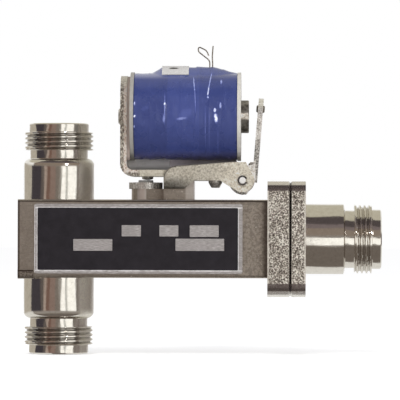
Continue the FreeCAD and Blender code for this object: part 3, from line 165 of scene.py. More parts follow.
# %% [markdown]
# ## Light
# Matt things need only an even light: a pale world, and one large soft lamp above and in front.
# Bright nickel is different, because it shows what stands round it. A studio has dark flags and white cards round
# such a thing, and they draw the dark and light bands along each barrel. One big shell stands in for them all. Its
# colour depends on the direction, and only reflections see it.

# %% World and lamps
LAMP_AIM = (-40.0, 0.0, 10.0)  # the lamps turn towards this point, in mm in the frame


def world_light():
    """White where the camera or a reflection looks past the object, a little less as light on matt surfaces."""
    world = bpy.data.worlds.new("studio")
    bpy.context.scene.world = world
    world.use_nodes = True
    tree = world.node_tree
    tree.nodes.clear()
    rays = tree.nodes.new("ShaderNodeLightPath").outputs
    seen = rays["Is Camera Ray"]
    for kind in ("Is Glossy Ray", "Is Transmission Ray"):
        seen = add_node(tree, "ShaderNodeMath", {0: seen, 1: rays[kind]}, operation="MAXIMUM")
    soft = add_node(tree, "ShaderNodeBackground", {"Color": (0.6, 0.6, 0.61)})
    white = add_node(tree, "ShaderNodeBackground", {"Color": (1.0, 1.0, 1.0)})
    sky = add_node(tree, "ShaderNodeMixShader", {0: seen, 1: soft, 2: white})
    tree.links.new(sky, tree.nodes.new("ShaderNodeOutputWorld").inputs[0])


def lamp(name, where, size, power):
    """A square soft lamp at a place in the frame, turned towards the middle of the object."""
    light = bpy.data.lights.new(name, "AREA")
    light.size, light.energy = size * MM, power
    back = Vector(where) - Vector(LAMP_AIM)
    thing = add_object(name, light)
    thing.matrix_world = Matrix.Translation(Vector(where) * MM) @ back.to_track_quat("Z", "Y").to_matrix().to_4x4()
    return thing


world_light()
# the two soft lamps light matt surfaces, and the small one only gives glints
for soft_lamp in (lamp("key", (-120, -520, 560), 300, 2.3), lamp("fill", (260, -640, 60), 420, 0.9)):
    soft_lamp.visible_glossy = False
glint = lamp("glint", (270, -600, 270), 60, 0.55)
glint.visible_diffuse = False
print("lamps:", len(bpy.data.lights))


# %% Cards and flags as one shell
# the bands round the object at the camera's height: angle from the camera in degrees, + to the right, and a tint
ROUND_BANDS = [
    (-180, 1.0, 1.0, 1.0), (-150, 0.5, 0.46, 0.39), (-97, 0.06, 0.052, 0.06), (-58, 0.13, 0.11, 0.1),
    (-47, 0.42, 0.34, 0.29), (-38, 0.19, 0.115, 0.09), (-27, 0.27, 0.195, 0.165), (-9, 0.22, 0.19, 0.165),
    (3, 0.3, 0.28, 0.25), (10.5, 1.25, 1.24, 1.19), (24.5, 0.5, 0.5, 0.47), (31, 1.22, 1.21, 1.16),
    (62, 0.21, 0.185, 0.165), (74, 0.27, 0.235, 0.215), (86, 0.21, 0.18, 0.165), (104, 0.15, 0.115, 0.1),
    (150, 1.0, 1.0, 1.0)]
# the bands from below over the front and over the top: angle above the horizon, past 90 behind the object
OVER_BANDS = [
    (-180, 0.8, 0.79, 0.75), (-104, 0.17, 0.145, 0.125), (-24, 0.33, 0.3, 0.27), (12, 0.27, 0.22, 0.18),
    (36, 0.2, 0.165, 0.165), (50, 0.09, 0.075, 0.075), (79, 0.56, 0.53, 0.43), (150, 0.95, 0.95, 0.92)]
HORIZON = (7.0, 15.0)  # between these heights in degrees the second set takes over
SHELL_RADIUS, SHELL_MIDDLE = 1.6, (-0.04, 0.0, 0.004)  # in metres
# a small white card in front of the common port alone, in mm in the frame
CARD_X, CARD_Y, CARD_Z = (-13.5, 40.0), -80.0, (-27.0, 6.5)


def banded(angle, bands, soft):
    """Colour of each angle: from each band's start the tint slides from the last one to its own over `soft` degrees."""
    colour = np.empty(angle.shape + (3,))
    colour[:] = bands[0][1:]
    for start, *tint in bands[1:]:
        share = np.clip((angle - start) / soft + 0.5, 0, 1)[..., None]
        colour = colour * (1 - share) + np.array(tint) * share
    return colour


def studio_shell():
    """A sphere round the object: place = middle + radius x (sin az cos el, -cos az cos el, sin el). Its tint follows
    the bands round it near the horizon and the bands over it elsewhere."""
    az, el = np.meshgrid(np.radians(np.linspace(-180, 180, 721)), np.radians(np.linspace(-89.9, 89.9, 181)))
    spot = np.stack([np.sin(az) * np.cos(el), -np.cos(az) * np.cos(el), np.sin(el)], -1) * SHELL_RADIUS
    over = np.where(np.abs(az) <= np.pi / 2, el, np.sign(el) * np.pi - el)
    share = ease(np.clip((np.abs(np.degrees(el)) - HORIZON[0]) / (HORIZON[1] - HORIZON[0]), 0, 1))[..., None]
    tint = banded(np.degrees(az), ROUND_BANDS, 2.0) * (1 - share) + banded(np.degrees(over), OVER_BANDS, 3.0) * share
    shell = grid_mesh("studio_shell", spot + SHELL_MIDDLE)
    layer = shell.data.color_attributes.new("tint", "FLOAT_COLOR", "POINT")
    layer.data.foreach_set("color", np.insert(tint, 3, 1.0, -1).ravel())
    return shell


def glow(name, tint):
    """An emission in one tint, or in the tints of the mesh's attribute that `tint` names."""
    material = bpy.data.materials.new(name)
    material.use_nodes = True
    tree = material.node_tree
    tree.nodes.clear()
    if isinstance(tint, str):
        tint = add_node(tree, "ShaderNodeAttribute", {}, "Color", attribute_name=tint)
    shine = add_node(tree, "ShaderNodeEmission", {"Color": tint})
    tree.links.new(shine, tree.nodes.new("ShaderNodeOutputMaterial").inputs[0])
    return material


def reflection_only(thing, material):
    """Shown to reflections, hidden from the camera, matt surfaces and shadows, and no part of the object."""
    thing.data.materials.append(material)
    thing.visible_camera = thing.visible_diffuse = thing.visible_shadow = False
    thing.visible_transmission = thing.visible_volume_scatter = False


reflection_only(studio_shell(), glow("shell_light", "tint"))
card = np.array([[[x, CARD_Y, z] for x in CARD_X] for z in CARD_Z]) * MM
reflection_only(grid_mesh("port_card", card), glow("card_light", (1.22, 1.21, 1.15)))
print("bands:", len(ROUND_BANDS), "round and", len(OVER_BANDS), "over the object")


# %% [markdown]
# ## Finishes
# A finish is a few nodes: a pattern in the object's own millimetres drives the colour, the roughness and the bump.
# Each call of the class below adds one node or a few and hands back the output. A mask is a value from 0 to 1 that
# says where something shows.

# %% A bench for finishes
finishes = {}  # every material by its name


class Finish:
    """One material under work. `place` is the object's own coordinates in metres, and x, y and z are the same in mm,
    with x from the ports' axis. `colour` and `roughness` are what remains where patterns can't be shown."""

    def __init__(self, name, colour, roughness, metallic=0.0, specular=0.5):
        self.material = finishes[name] = bpy.data.materials.new(name)
        self.material.use_nodes = True
        self.tree = self.material.node_tree
        self.inputs = self.tree.nodes["Principled BSDF"].inputs
        self.set(("Base Color", colour), ("Roughness", roughness), ("Metallic", metallic),
                 ("Specular IOR Level", specular))
        self.place = self.node("ShaderNodeTexCoord", {}, "Object")
        x, self.y, self.z = (self.times(self.node("ShaderNodeSeparateXYZ", {0: self.place}, name), 1 / MM)
                             for name in "XYZ")
        self.x = self.minus(x, PORTS_X)

    def set(self, *values):
        """Feeds inputs of the shader itself, by name."""
        for name, value in values:
            feed(self.tree, self.inputs[name], value)

    def node(self, kind, inputs, output=0, **settings):
        return add_node(self.tree, kind, inputs, output, **settings)

    def stretched(self, x, y, z):
        """The place with each axis scaled, for patterns drawn out along one of them."""
        return self.node("ShaderNodeVectorMath", {0: self.place, 1: (x, y, z)}, operation="MULTIPLY")

    def noise(self, size, detail, rough=0.55, place=None):
        """Cloudy noise whose blobs are about `size` mm across."""
        return self.node("ShaderNodeTexNoise", {"Vector": place or self.place, "Scale": 1.0 / (size * MM),
                                                "Detail": detail, "Roughness": rough}, "Fac")

    def ramp(self, value, *stops):
        """Colours or greys along a value: (where, colour or grey) for each stop."""
        node = self.tree.nodes.new("ShaderNodeValToRGB")
        feed(self.tree, node.inputs[0], value)
        strip = node.color_ramp.elements
        while len(strip) < len(stops):
            strip.new(0.5)
        for element, (where, tint) in zip(strip, stops):
            element.position = where
            element.color = (*tint, 1) if isinstance(tint, tuple) else (tint, tint, tint, 1)
        return node.outputs["Color"]

    def math(self, operation, *values):
        """One operation on outputs and numbers. It takes more than two of them in turn."""
        if len(values) > 2:
            values = (self.math(operation, *values[:-1]), values[-1])
        return self.node("ShaderNodeMath", dict(enumerate(values)), operation=operation)

    def times(self, *values):
        return self.math("MULTIPLY", *values)

    def plus(self, *values):
        return self.math("ADD", *values)

    def minus(self, first, second):
        return self.math("SUBTRACT", first, second)

    def most(self, *values):
        return self.math("MAXIMUM", *values)

    def apart(self, first, second):
        """The distance between two values."""
        return self.math("ABSOLUTE", self.minus(first, second))

    def squares(self, *values):
        """The sum of the squares."""
        return self.plus(*(self.times(value, value) for value in values))

    def wobble(self, width, *noise):
        """Noise about nought, `width` from end to end."""
        return self.times(self.minus(self.noise(*noise), 0.5), width)

    def mix(self, share, first, second, how="MIX"):
        """Two colours in shares."""
        return self.node("ShaderNodeMix", {0: share, 6: first, 7: second}, 2, data_type="RGBA", blend_type=how)

    def paint(self, colour, tint, *masks):
        """Lays a tint over a colour, by the product of the masks."""
        return self.mix(self.times(*masks) if len(masks) > 1 else masks[0], colour, tint)

    def shaded(self, colour, shade):
        """The colour times a factor by place, where there is one."""
        return self.mix(1.0, colour, shade(self), "MULTIPLY") if shade else colour

    def facing(self, name):
        """How far the surface faces along X, Y or Z of the object, either way, from 0 to 1."""
        normal = self.node("ShaderNodeTexCoord", {}, "Normal")
        return self.math("ABSOLUTE", self.node("ShaderNodeSeparateXYZ", {0: normal}, name))

    def step(self, value, low, high, out_low=0.0, out_high=1.0):
        """Smooth rise from out_low to out_high while the value goes from low to high."""
        return self.node("ShaderNodeMapRange", dict(enumerate((value, low, high, out_low, out_high))),
                         interpolation_type="SMOOTHSTEP")

    def fall(self, value, low, high, share=1.0):
        """`share` up to low, then smoothly down to 0 at high."""
        return self.step(value, low, high, share, 0.0)

    def window(self, value, low, high, soft):
        """1 while the value is between low and high, and 0 elsewhere, with soft sides."""
        return self.times(self.step(value, low - soft, low), self.fall(value, high, high + soft))

    def bump(self, height, deep, strength, under=None):
        """Dents `deep` mm deep from a height between 0 and 1, on top of other dents."""
        return self.node("ShaderNodeBump", {"Strength": strength, "Distance": deep * MM, "Height": height,
                                            **({"Normal": under} if under else {})})

    def wear(self, colour, roughness, normal):
        """Puts the patterns on the shader."""
        self.set(("Base Color", colour), ("Roughness", roughness), ("Normal", normal))


# %% [markdown]
# ## Floor
# A plain pale floor under the object. It takes the soft shadow, and reflections pass through it to the shell.

# %% Floor
FLOOR_GAP, FLOOR_REACH = 0.0002, 3.0  # in metres: below the lowest point, and from the middle to an edge
FLOOR_LIFT = 0.42  # lifts the paper to white for the camera, and the shadow stays


def floor():
    """A flat square just under the lowest point."""
    f = Finish("floor_paper", (0.93, 0.93, 0.93), 0.9, specular=0.0)
    seen = f.node("ShaderNodeLightPath", {}, "Is Camera Ray")
    f.set(("Emission Color", 1.0), ("Emission Strength", f.times(seen, FLOOR_LIFT)))
    low, ends = cad_box[0][2] - FLOOR_GAP, (-FLOOR_REACH, FLOOR_REACH)
    thing = grid_mesh("floor", np.array([[[x, y, low] for x in ends] for y in ends]), smooth=False)
    thing.data.materials.append(f.material)
    thing.visible_glossy = False


floor()
print("floor:", 2 * FLOOR_REACH, "m wide")


# %% [markdown]
# ## Bright nickel of the ports
# Turned brass with bright nickel on it. It is nearly a mirror, so the bands do most of the work. Fine turning marks run
# round the axis, and small stains and specks break the reflection.

# %% Bright nickel
COMMON_THREAD, SIDE_THREAD = (68.45, 72.45), (20.45, 24.45)  # along the tube, and outwards from the tube's axis
ROOT_RADII = (7.44, 7.76)  # the darkening in the roots ends between these


def bright_nickel(name, along):
    """Metal with turning marks across the axis `along`, X or Z, and faint stains."""
    f = Finish(name, (0.8, 0.77, 0.73), 0.2, metallic=1.0)
    drawn = {"X": (1.0, 0.03, 0.03), "Z": (0.03, 0.03, 1.0)}[along]
    marks = f.noise(0.16, 4.0, 0.6, f.stretched(*drawn))
    stains = f.noise(1.1, 5.0, 0.62)
    specks = f.noise(0.33, 2.0, 0.7)
    colour = f.mix(f.ramp(stains, (0.35, 0.0), (0.75, 0.55)), (0.83, 0.8, 0.755), (0.66, 0.62, 0.565))
    colour = f.paint(colour, (0.5, 0.46, 0.41), f.ramp(specks, (0.6, 0.0), (0.74, 0.5)))
    rough = f.minus(f.plus(f.times(stains, 0.16), f.times(marks, 0.1)), 0.015)
    # the roots of the thread are darkened
    if along == "X":
        across, root_dark, on_thread = (f.y, f.z), 0.2, f.window(f.x, *COMMON_THREAD, 0.05)
    else:
        across, root_dark, on_thread = (f.x, f.y), 0.52, f.window(f.math("ABSOLUTE", f.z), *SIDE_THREAD, 0.05)
    in_root = f.fall(f.math("SQRT", f.squares(*across)), *ROOT_RADII, root_dark)
    colour = f.paint(colour, (0.06, 0.05, 0.048), in_root, on_thread)
    if along == "Z":
        # the side ports are duller towards the coil, with light cream specks there
        dull = f.step(f.x, 4.6, 5.6)
        rough = f.plus(rough, f.times(dull, 0.3))
        colour = f.paint(colour, (0.95, 0.93, 0.84), dull, f.ramp(specks, (0.42, 0.0), (0.6, 0.8)))
    f.wear(colour, rough, f.bump(marks, 0.01, 0.35, f.bump(stains, 0.03, 0.25)))


bright_nickel("side_port_nickel", "Z")
bright_nickel("common_port_nickel", "X")
print("finishes so far:", len(finishes))


# %% [markdown]
# ## Satin nickel of the tube, matt nickel of the castings
# The tube is brass sheet with a satin coat gone brownish. The two square flanges are castings, tumbled and plated, so
# their faces are covered in small bright and dark grains.

# %% Satin and cast nickel
# the square flange on the tube goes from the first face to the second, and the common port's from there to the third
FLANGE_START, FLANGE_JOINT, FLANGE_STOP = 48.4, 53.65, 57.15
TAB_END = -5.2  # the folded tab at the tube's lower left corner ends here
TAB_SEAM = (-7.52, -7.22)  # lower and upper edge of the seam above it


def satin_nickel(name, lightened=()):
    """Brownish satin metal: clouds a few millimetres wide, and fine streaks along the tube. Each entry of `lightened`
    is a stretch along X that is lightened by some share."""
    f = Finish(name, (0.5, 0.46, 0.42), 0.38, metallic=0.85)
    clouds = f.noise(5.0, 4.0, 0.6)
    streaks = f.noise(0.25, 3.0, 0.6, f.stretched(0.1, 1.0, 1.0))
    grain = f.noise(0.22, 2.0, 0.6)
    colour = f.mix(clouds, (0.365, 0.318, 0.272), (0.475, 0.425, 0.375))
    colour = f.paint(colour, (0.66, 0.61, 0.555), f.ramp(streaks, (0.52, 0.0), (0.78, 0.45)))
    colour = f.paint(colour, (0.19, 0.16, 0.13), f.ramp(grain, (0.3, 0.6), (0.42, 0.0)))
    colour = f.paint(colour, (0.86, 0.83, 0.76), f.ramp(f.noise(0.5, 1.0, 0.5), (0.7, 0.0), (0.76, 0.8)))
    mottle = f.step(f.noise(0.55, 3.0, 0.65), 0.38, 0.62, 0.8, 1.22)
    colour = f.mix(f.step(f.x, 34.0, 40.0, 0.3, 1.0), colour, mottle, "MULTIPLY")
    # the front: a painted highlight along the top edge, the seam of the cover under it, the seam of the tab,
    # dark lines along the foot and the left end, and a painted shadow at the flange
    (left, near, bottom), (_, _, top) = in_mm(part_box("body_tube"))
    front = f.fall(f.y, near + 0.05, near + 0.45)
    level = f.plus(f.z, f.wobble(0.3, 0.8, 3.0))
    below = f.times(f.fall(level, -7.6, -7.5), f.ramp(f.noise(0.35, 2.0), (0.47, 0.0), (0.56, 0.7)))
    tab = f.times(f.most(f.window(level, *TAB_SEAM, 0.08), below), f.fall(f.x, TAB_END - 0.15, TAB_END))
    seam = f.window(f.z, top - 0.52, top - 0.3, 0.06)
    foot = f.fall(level, bottom + 0.1, bottom + 0.3, 0.8)
    left_end = f.fall(f.x, left + 0.12, left + 0.3, 0.75)
    # painted shadow on the front beside the flange
    at_flange = f.step(f.x, FLANGE_START - 1.6, FLANGE_START - 0.3, 0.0, 0.75)
    colour = f.paint(colour, (0.085, 0.065, 0.055), f.most(seam, tab, foot, left_end, at_flange), front)
    # painted highlight along the top edge of the front
    colour = f.paint(colour, (0.92, 0.88, 0.8), f.step(f.z, top - 0.26, top - 0.16, 0.0, 0.9), front)
    for start, stop, soft, share in lightened:
        colour = f.paint(colour, (0.98, 0.94, 0.9), f.window(f.x, start, stop, soft), share)
    f.wear(colour, f.plus(f.times(clouds, 0.16), 0.27), f.bump(grain, 0.012, 0.5))


def cast_nickel():
    """Grains a third of a millimetre across, light on dark, with a strong bump."""
    f = Finish("flange_casting", (0.6, 0.56, 0.51), 0.5, metallic=0.8)
    grains = f.noise(0.36, 3.0, 0.6)
    mixed = f.plus(f.times(grains, 0.85), f.times(f.noise(1.4, 2.0, 0.5), 0.15))
    flat = f.step(f.most(f.facing("Y"), f.facing("X")), 0.955, 0.995)
    grainy = f.ramp(mixed, (0.4, (0.085, 0.068, 0.058)), (0.47, (0.31, 0.27, 0.23)), (0.53, (0.57, 0.52, 0.46)),
                    (0.59, (1.0, 0.97, 0.9)))
    colour = f.mix(flat, f.mix(grains, (0.52, 0.475, 0.42), (0.74, 0.7, 0.645)), grainy)
    # painted highlights along the rims of both flanges, and a dark joint between them
    for rim in (FLANGE_START, FLANGE_JOINT, FLANGE_STOP):
        colour = f.paint(colour, (0.93, 0.89, 0.82), f.fall(f.apart(f.x, rim), 0.15, 0.55, 0.75), flat)
    colour = f.paint(colour, (0.045, 0.035, 0.03), f.fall(f.apart(f.x, FLANGE_JOINT), 0.16, 0.3))
    # the long edges above and below get painted shade first and end in a painted highlight line
    dark = f.most(f.window(f.z, 11.15, 12.2, 0.25), f.window(f.z, -11.7, -10.3, 0.25))
    bright = f.most(f.step(f.z, 12.25, 12.5, 0.0, 0.45), f.fall(f.z, -12.1, -11.8))
    line = f.mix(f.ramp(grains, (0.34, 0.0), (0.44, 1.0)), (0.6, 0.57, 0.52), (1.0, 0.985, 0.96))
    colour = f.paint(f.paint(colour, (0.155, 0.125, 0.118), dark, 0.9), line, bright, 0.85)
    rough = f.plus(f.times(flat, 0.22), f.ramp(mixed, (0.4, 0.3), (0.6, 0.18)))
    f.wear(colour, rough, f.bump(f.times(f.plus(flat, 0.03), mixed), 0.1, 0.7))


satin_nickel("body_satin")
# the first lightened stretch is a painted highlight on the pedestal's round left end; the second lightens a stretch
# further right
satin_nickel("bush_satin", [(18.5, 20.2, 0.35, 0.95), (29.8, 31.2, 0.5, 0.45)])
cast_nickel()
print("finishes so far:", len(finishes))


# %% [markdown]
# ## Iron and steel of the drive
# Yoke, core, armature and bracket are punched from thick sheet and thinly plated. Their faces are grainy, and the
# sheared edges of the yoke go from grey towards the outside of the bend to light copper further in. Bracket, armature
# and core carry painted highlights and painted shade.

# %% Iron, steel, screws
COIL_Z = sum(corner[2] for corner in in_mm(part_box("bobbin"))) / 2  # height of the coil's axis
YOKE_ARM = 19.2  # from here on the yoke's arm is cream
EDGE_X, EDGE_Z, EDGE_RISE = 27.3, 16.75, 0.0865  # a point of the bracket's upper edge, and its rise per mm
LOBE_RADIUS = 2.9  # the round left end of its cheeks, and the middle of that
LOBE_X, LOBE_Z = 24.5 + LOBE_RADIUS, EDGE_Z - LOBE_RADIUS


def rough_plate(name, dark, middle, light, grain_size, deep, shade=None):
    """Three tones by a grain of the given size in mm, over slow clouds. `shade` gives a factor by place."""
    f = Finish(name, middle, 0.45, metallic=0.75)
    grains = f.noise(grain_size, 3.0, 0.65)
    mixed = f.plus(f.times(grains, 0.7), f.times(f.noise(3.5, 3.0, 0.5), 0.3))
    colour = f.shaded(f.ramp(mixed, (0.36, dark), (0.5, middle), (0.62, light)), shade)
    f.wear(colour, f.plus(f.times(grains, 0.3), 0.27), f.bump(grains, deep, 0.6))


def bracket_shade(f):
    """Painted shade low on the left lobe, along the upper rim and on the far cheek; painted highlight towards the
    pivot.
    """
    low_left = f.times(f.fall(f.z, 12.4, 15.0), f.fall(f.x, 26.45, 35.45))
    light = f.minus(f.step(f.x, 34.45, 41.45, 1.0, 1.3), f.times(low_left, 0.74))
    # the upper edge rises evenly to the right, and on the left it goes round the lobe
    under = f.minus(f.plus(f.times(f.minus(f.x, EDGE_X), EDGE_RISE), EDGE_Z), f.z)
    off_x, off_z = f.minus(f.x, LOBE_X), f.minus(f.z, LOBE_Z)
    corner = f.times(f.math("LESS_THAN", off_x, 0.0), f.math("GREATER_THAN", off_z, 0.0))
    reach = f.math("SQRT", f.squares(off_x, off_z))
    round_rim = f.times(corner, f.step(reach, LOBE_RADIUS - 0.4, LOBE_RADIUS - 0.15))
    return f.times(light, f.minus(1.0, f.times(round_rim, 0.62)), f.step(under, 0.1, 0.34, 0.38, 1.0),
                   f.step(f.y, 0.0, 1.0, 1.0, 0.45))


def armature_shade(f):
    """Painted highlight over its upper half and on its ears, darker with specks between."""
    specks = f.ramp(f.noise(0.45, 2.0, 0.6), (0.42, 0.28), (0.55, 1.0))
    shade = f.mix(f.step(f.z, 20.0, 24.0), f.times(specks, 0.95), f.step(f.z, 20.0, 24.0, 1.0, 1.28))
    return f.paint(shade, 1.45, f.window(f.x, 43.6, 45.5, 0.3), f.fall(f.z, 17.8, 18.4))


def core_shade(f):
    """The pole face has a painted highlight across the middle and painted shade above and below it."""
    bar = f.step(f.apart(f.z, COIL_Z), 0.55, 0.95, 1.7, 0.46)
    return f.mix(f.step(f.x, 41.65, 41.95), 1.0, bar)


def yoke_edge():
    """Grainy plate on the faces. On the two sheared edges the tone goes by the depth from the outside of the bend."""
    f = Finish("yoke_plate", (0.55, 0.5, 0.45), 0.45, metallic=0.75)
    (left, _, bottom), _ = in_mm(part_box("yoke"))
    grains = f.noise(0.34, 4.0, 0.7, f.stretched(1.0, 1.0, 0.55))
    depth = f.math("MINIMUM", f.minus(f.x, left), f.minus(f.z, bottom))
    grey = f.ramp(grains, (0.4, (0.14, 0.118, 0.1)), (0.5, (0.36, 0.32, 0.27)), (0.59, (0.88, 0.84, 0.74)))
    copper = f.ramp(grains, (0.36, (0.44, 0.32, 0.26)), (0.47, (1.0, 0.86, 0.75)), (0.56, (1.0, 0.97, 0.92)))
    plain = f.ramp(grains, (0.36, (0.4, 0.37, 0.33)), (0.6, (0.82, 0.79, 0.74)))
    edge_tone = f.mix(f.step(f.plus(depth, f.wobble(0.7, 1.2, 2.0)), 0.62, 1.02), grey, copper)
    colour = f.mix(f.step(f.facing("Y"), 0.6, 0.9), plain, edge_tone)
    # the arm under the coil is plated cream, and its edge is sheared clean
    cream = f.mix(grains, (0.62, 0.58, 0.46), (1.0, 0.97, 0.85))
    colour = f.paint(colour, cream, f.step(f.x, YOKE_ARM - 0.8, YOKE_ARM), 0.85)
    f.wear(colour, f.plus(f.times(grains, 0.35), 0.25), f.bump(grains, 0.08, 0.8))


rough_plate("bracket_plate", (0.42, 0.385, 0.32), (0.72, 0.68, 0.58), (0.9, 0.87, 0.78), 0.45, 0.05, bracket_shade)
rough_plate("armature_plate", (0.28, 0.26, 0.235), (0.7, 0.68, 0.64), (0.92, 0.9, 0.86), 0.4, 0.06, armature_shade)
rough_plate("core_iron", (0.22, 0.2, 0.18), (0.55, 0.51, 0.46), (0.85, 0.8, 0.74), 0.9, 0.05, core_shade)
rough_plate("ring_plate", (0.3, 0.28, 0.26), (0.78, 0.75, 0.71), (1.0, 0.98, 0.95), 0.3, 0.02)
rough_plate("screw_plate", (0.22, 0.2, 0.18), (0.52, 0.5, 0.46), (0.82, 0.8, 0.76), 0.3, 0.02)
rough_plate("clip_steel", (0.03, 0.028, 0.026), (0.1, 0.09, 0.085), (0.26, 0.24, 0.22), 0.3, 0.02)
yoke_edge()
print("finishes so far:", len(finishes))


# %% [markdown]
# ## Plastics, rubber, paper and contacts
# The small pieces need little more than two tones. Bobbin, pad and strip also darken from one end to the other;
# on pad and strip that is painted shade.

# %% Plain materials
def plastic(name, dark, light, size, roughness, deep=0.02, shade=None):
    """Two tones by clouds of a size in mm, with a fine skin."""
    f = Finish(name, light, roughness)
    clouds = f.noise(size, 4.0, 0.55)
    colour = f.shaded(f.mix(clouds, dark, light), shade)
    f.wear(colour, f.plus(f.times(clouds, 0.12), roughness - 0.06), f.bump(f.noise(0.25, 2.0, 0.6), deep, 0.4))


def plain_metal(name, dark, light, roughness, size=1.0, metallic=1.0):
    """Clean metal with faint clouds."""
    f = Finish(name, light, roughness, metallic=metallic)
    clouds = f.noise(size, 3.0, 0.55)
    f.wear(f.mix(clouds, dark, light), f.plus(f.times(clouds, 0.14), roughness - 0.07),
           f.bump(f.noise(0.2, 2.0), 0.006, 0.4))


def bobbin_shade(f):
    """The flange at the yoke is darker than the one at the armature."""
    return f.step(f.x, 24.0, 34.0, 0.58, 1.0)


def pad_shade(f):
    """Painted shade low down, where the pad lies on the yoke, and over the side away from the plate."""
    return f.times(f.step(f.z, 15.9, 17.4, 0.42, 1.0), f.step(f.y, 3.6, 4.4, 1.0, 0.36))


def strip_shade(f):
    """Painted shade: the strip is as light as the pad where they meet, and darker further on and on its far side."""
    return f.times(f.step(f.x, 26.0, 32.0, 1.0, 0.6), f.step(f.y, 3.6, 4.4, 1.0, 0.4))


plastic("bobbin_plastic", (0.5, 0.48, 0.44), (0.74, 0.71, 0.65), 1.4, 0.45, shade=bobbin_shade)
plastic("white_insulator", (0.8, 0.79, 0.76), (0.9, 0.89, 0.86), 2.0, 0.4)
plastic("pad_rubber", (0.93, 0.89, 0.86), (1.0, 0.98, 0.96), 1.0, 0.7, 0.04, pad_shade)
plastic("strip_rubber", (0.7, 0.61, 0.64), (1.0, 0.91, 0.94), 1.0, 0.7, 0.04, strip_shade)
plastic("fish_paper", (0.24, 0.19, 0.165), (0.34, 0.275, 0.235), 0.8, 0.6)
plain_metal("silver_contact", (0.78, 0.76, 0.7), (0.93, 0.92, 0.88), 0.25)
plain_metal("blade_brass", (0.66, 0.54, 0.3), (0.82, 0.7, 0.42), 0.3)
plain_metal("pin_brass", (0.16, 0.14, 0.12), (0.36, 0.32, 0.27), 0.35, 0.5)
# the pin's light tone is a painted highlight on its end
plain_metal("pin_bright", (0.74, 0.72, 0.69), (0.97, 0.95, 0.92), 0.35, 0.4, 0.25)
plain_metal("spring_wire", (0.5, 0.5, 0.5), (0.68, 0.68, 0.68), 0.25)
plain_metal("lead_wire", (0.26, 0.23, 0.2), (0.62, 0.58, 0.52), 0.35, 0.6)
plain_metal("winding_copper", (0.45, 0.2, 0.1), (0.62, 0.32, 0.17), 0.4)
print("finishes so far:", len(finishes))


# %% [markdown]
# ## Name plate
# A thin aluminium plate: a bare silver border, a black field printed inside it, and bare silver boxes left in the
# print for writing on. The plate stays blank. Field and boxes are thin sheets, so their edges stay sharp.

# %% Plate finishes
plate_low, plate_high = in_mm(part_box("name_plate"))
# the field's edges: the bare border round it is 0.72 wide at the left, 1.02 at the right, 0.80 below and 0.90 above
FIELD_LEFT, FIELD_RIGHT = plate_low[0] + 0.72, plate_high[0] - 1.02
FIELD_BOTTOM, FIELD_TOP = plate_low[2] + 0.8, plate_high[2] - 0.9


def plate_silver():
    """Satin aluminium with fine scratches. Painted highlight lines run along the border: round the field, along the
    bottom and up the left end."""
    f = Finish("plate_silver", (0.6, 0.58, 0.57), 0.42, metallic=0.6)
    scratches = f.noise(0.14, 3.0, 0.6, f.stretched(0.12, 1.0, 1.0))
    colour = f.mix(f.ramp(scratches, (0.4, 0.0), (0.66, 1.0)), (0.4, 0.375, 0.37), (0.68, 0.655, 0.65))
    colour = f.paint(colour, (0.42, 0.395, 0.39), f.ramp(f.noise(3.0, 3.0, 0.55), (0.4, 0.0), (0.62, 0.5)))
    beside = f.window(f.z, FIELD_BOTTOM - 0.2, FIELD_TOP + 0.1, 0.1)
    # painted highlights along the edges of the border
    lines = ((f.x, plate_low[0], 1.0), (f.x, FIELD_LEFT, beside), (f.x, FIELD_RIGHT, beside),
             (f.z, FIELD_BOTTOM - 0.12, 1.0), (f.z, FIELD_TOP, 1.0))
    edge_highlights = f.most(*(f.times(f.fall(f.apart(value, edge), 0.1, 0.24), share) for value, edge, share in lines))
    edge_highlights = f.times(edge_highlights, f.ramp(f.noise(1.3, 2.0), (0.36, 0.35), (0.56, 1.0)))
    outside = f.most(f.fall(f.x, FIELD_LEFT + 0.3, FIELD_LEFT + 0.4), f.step(f.x, FIELD_RIGHT - 0.4, FIELD_RIGHT - 0.3),
                     f.fall(f.z, FIELD_BOTTOM + 0.3, FIELD_BOTTOM + 0.4), f.step(f.z, FIELD_TOP - 0.4, FIELD_TOP - 0.3))
    f.wear(f.paint(colour, (0.95, 0.94, 0.95), edge_highlights, outside), 0.42, f.bump(scratches, 0.01, 0.5))


def plate_black():
    """Black print, slightly glossy, with a little dust."""
    f = Finish("plate_black", (0.012, 0.011, 0.014), 0.42, specular=0.22)
    clouds = f.noise(2.4, 4.0, 0.6)
    dust = f.noise(0.18, 2.0, 0.6)
    colour = f.mix(clouds, (0.01, 0.0085, 0.011), (0.028, 0.024, 0.03))
    colour = f.paint(colour, (0.12, 0.115, 0.12), f.ramp(dust, (0.66, 0.0), (0.8, 0.5)))
    f.wear(colour, f.plus(f.times(clouds, 0.2), 0.32), f.bump(dust, 0.006, 0.4))


plate_silver()
plate_black()
print("field:", round(FIELD_RIGHT - FIELD_LEFT, 2), "by", round(FIELD_TOP - FIELD_BOTTOM, 2), "mm")


# %% Plate sheets
FIELD_LIFT, BOX_LIFT, SUNK = 0.015, 0.02, 0.1  # field above plate, boxes above field, and how deep the field reaches
FIELD_CORNER, BOX_CORNER = 0.28, 0.15  # radius of the corners
SHY = 0.02  # the edge of a sheet's face is taken back by this much
# the bare boxes, from the plate's left end and from the tube's axis, in mm: left, right, lowest, highest
WRITING_BOXES = {"box_grade": (20.05, 24.45, 0.55, 3.12), "box_voltage": (28.7, 33.05, 0.55, 3.12),
                 "box_current": (35.65, 42.3, 0.45, 3.12), "box_date": (8.95, 17.9, -2.78, -0.08),
                 "box_number": (32.4, 43.55, -2.75, 0.05)}


def give(thing, finish):
    """A finish, and the body that it rides on. All pieces made here belong to the body that doesn't move."""
    thing.data.materials.clear()
    thing.data.materials.append(finishes[finish])
    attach(thing, "root")


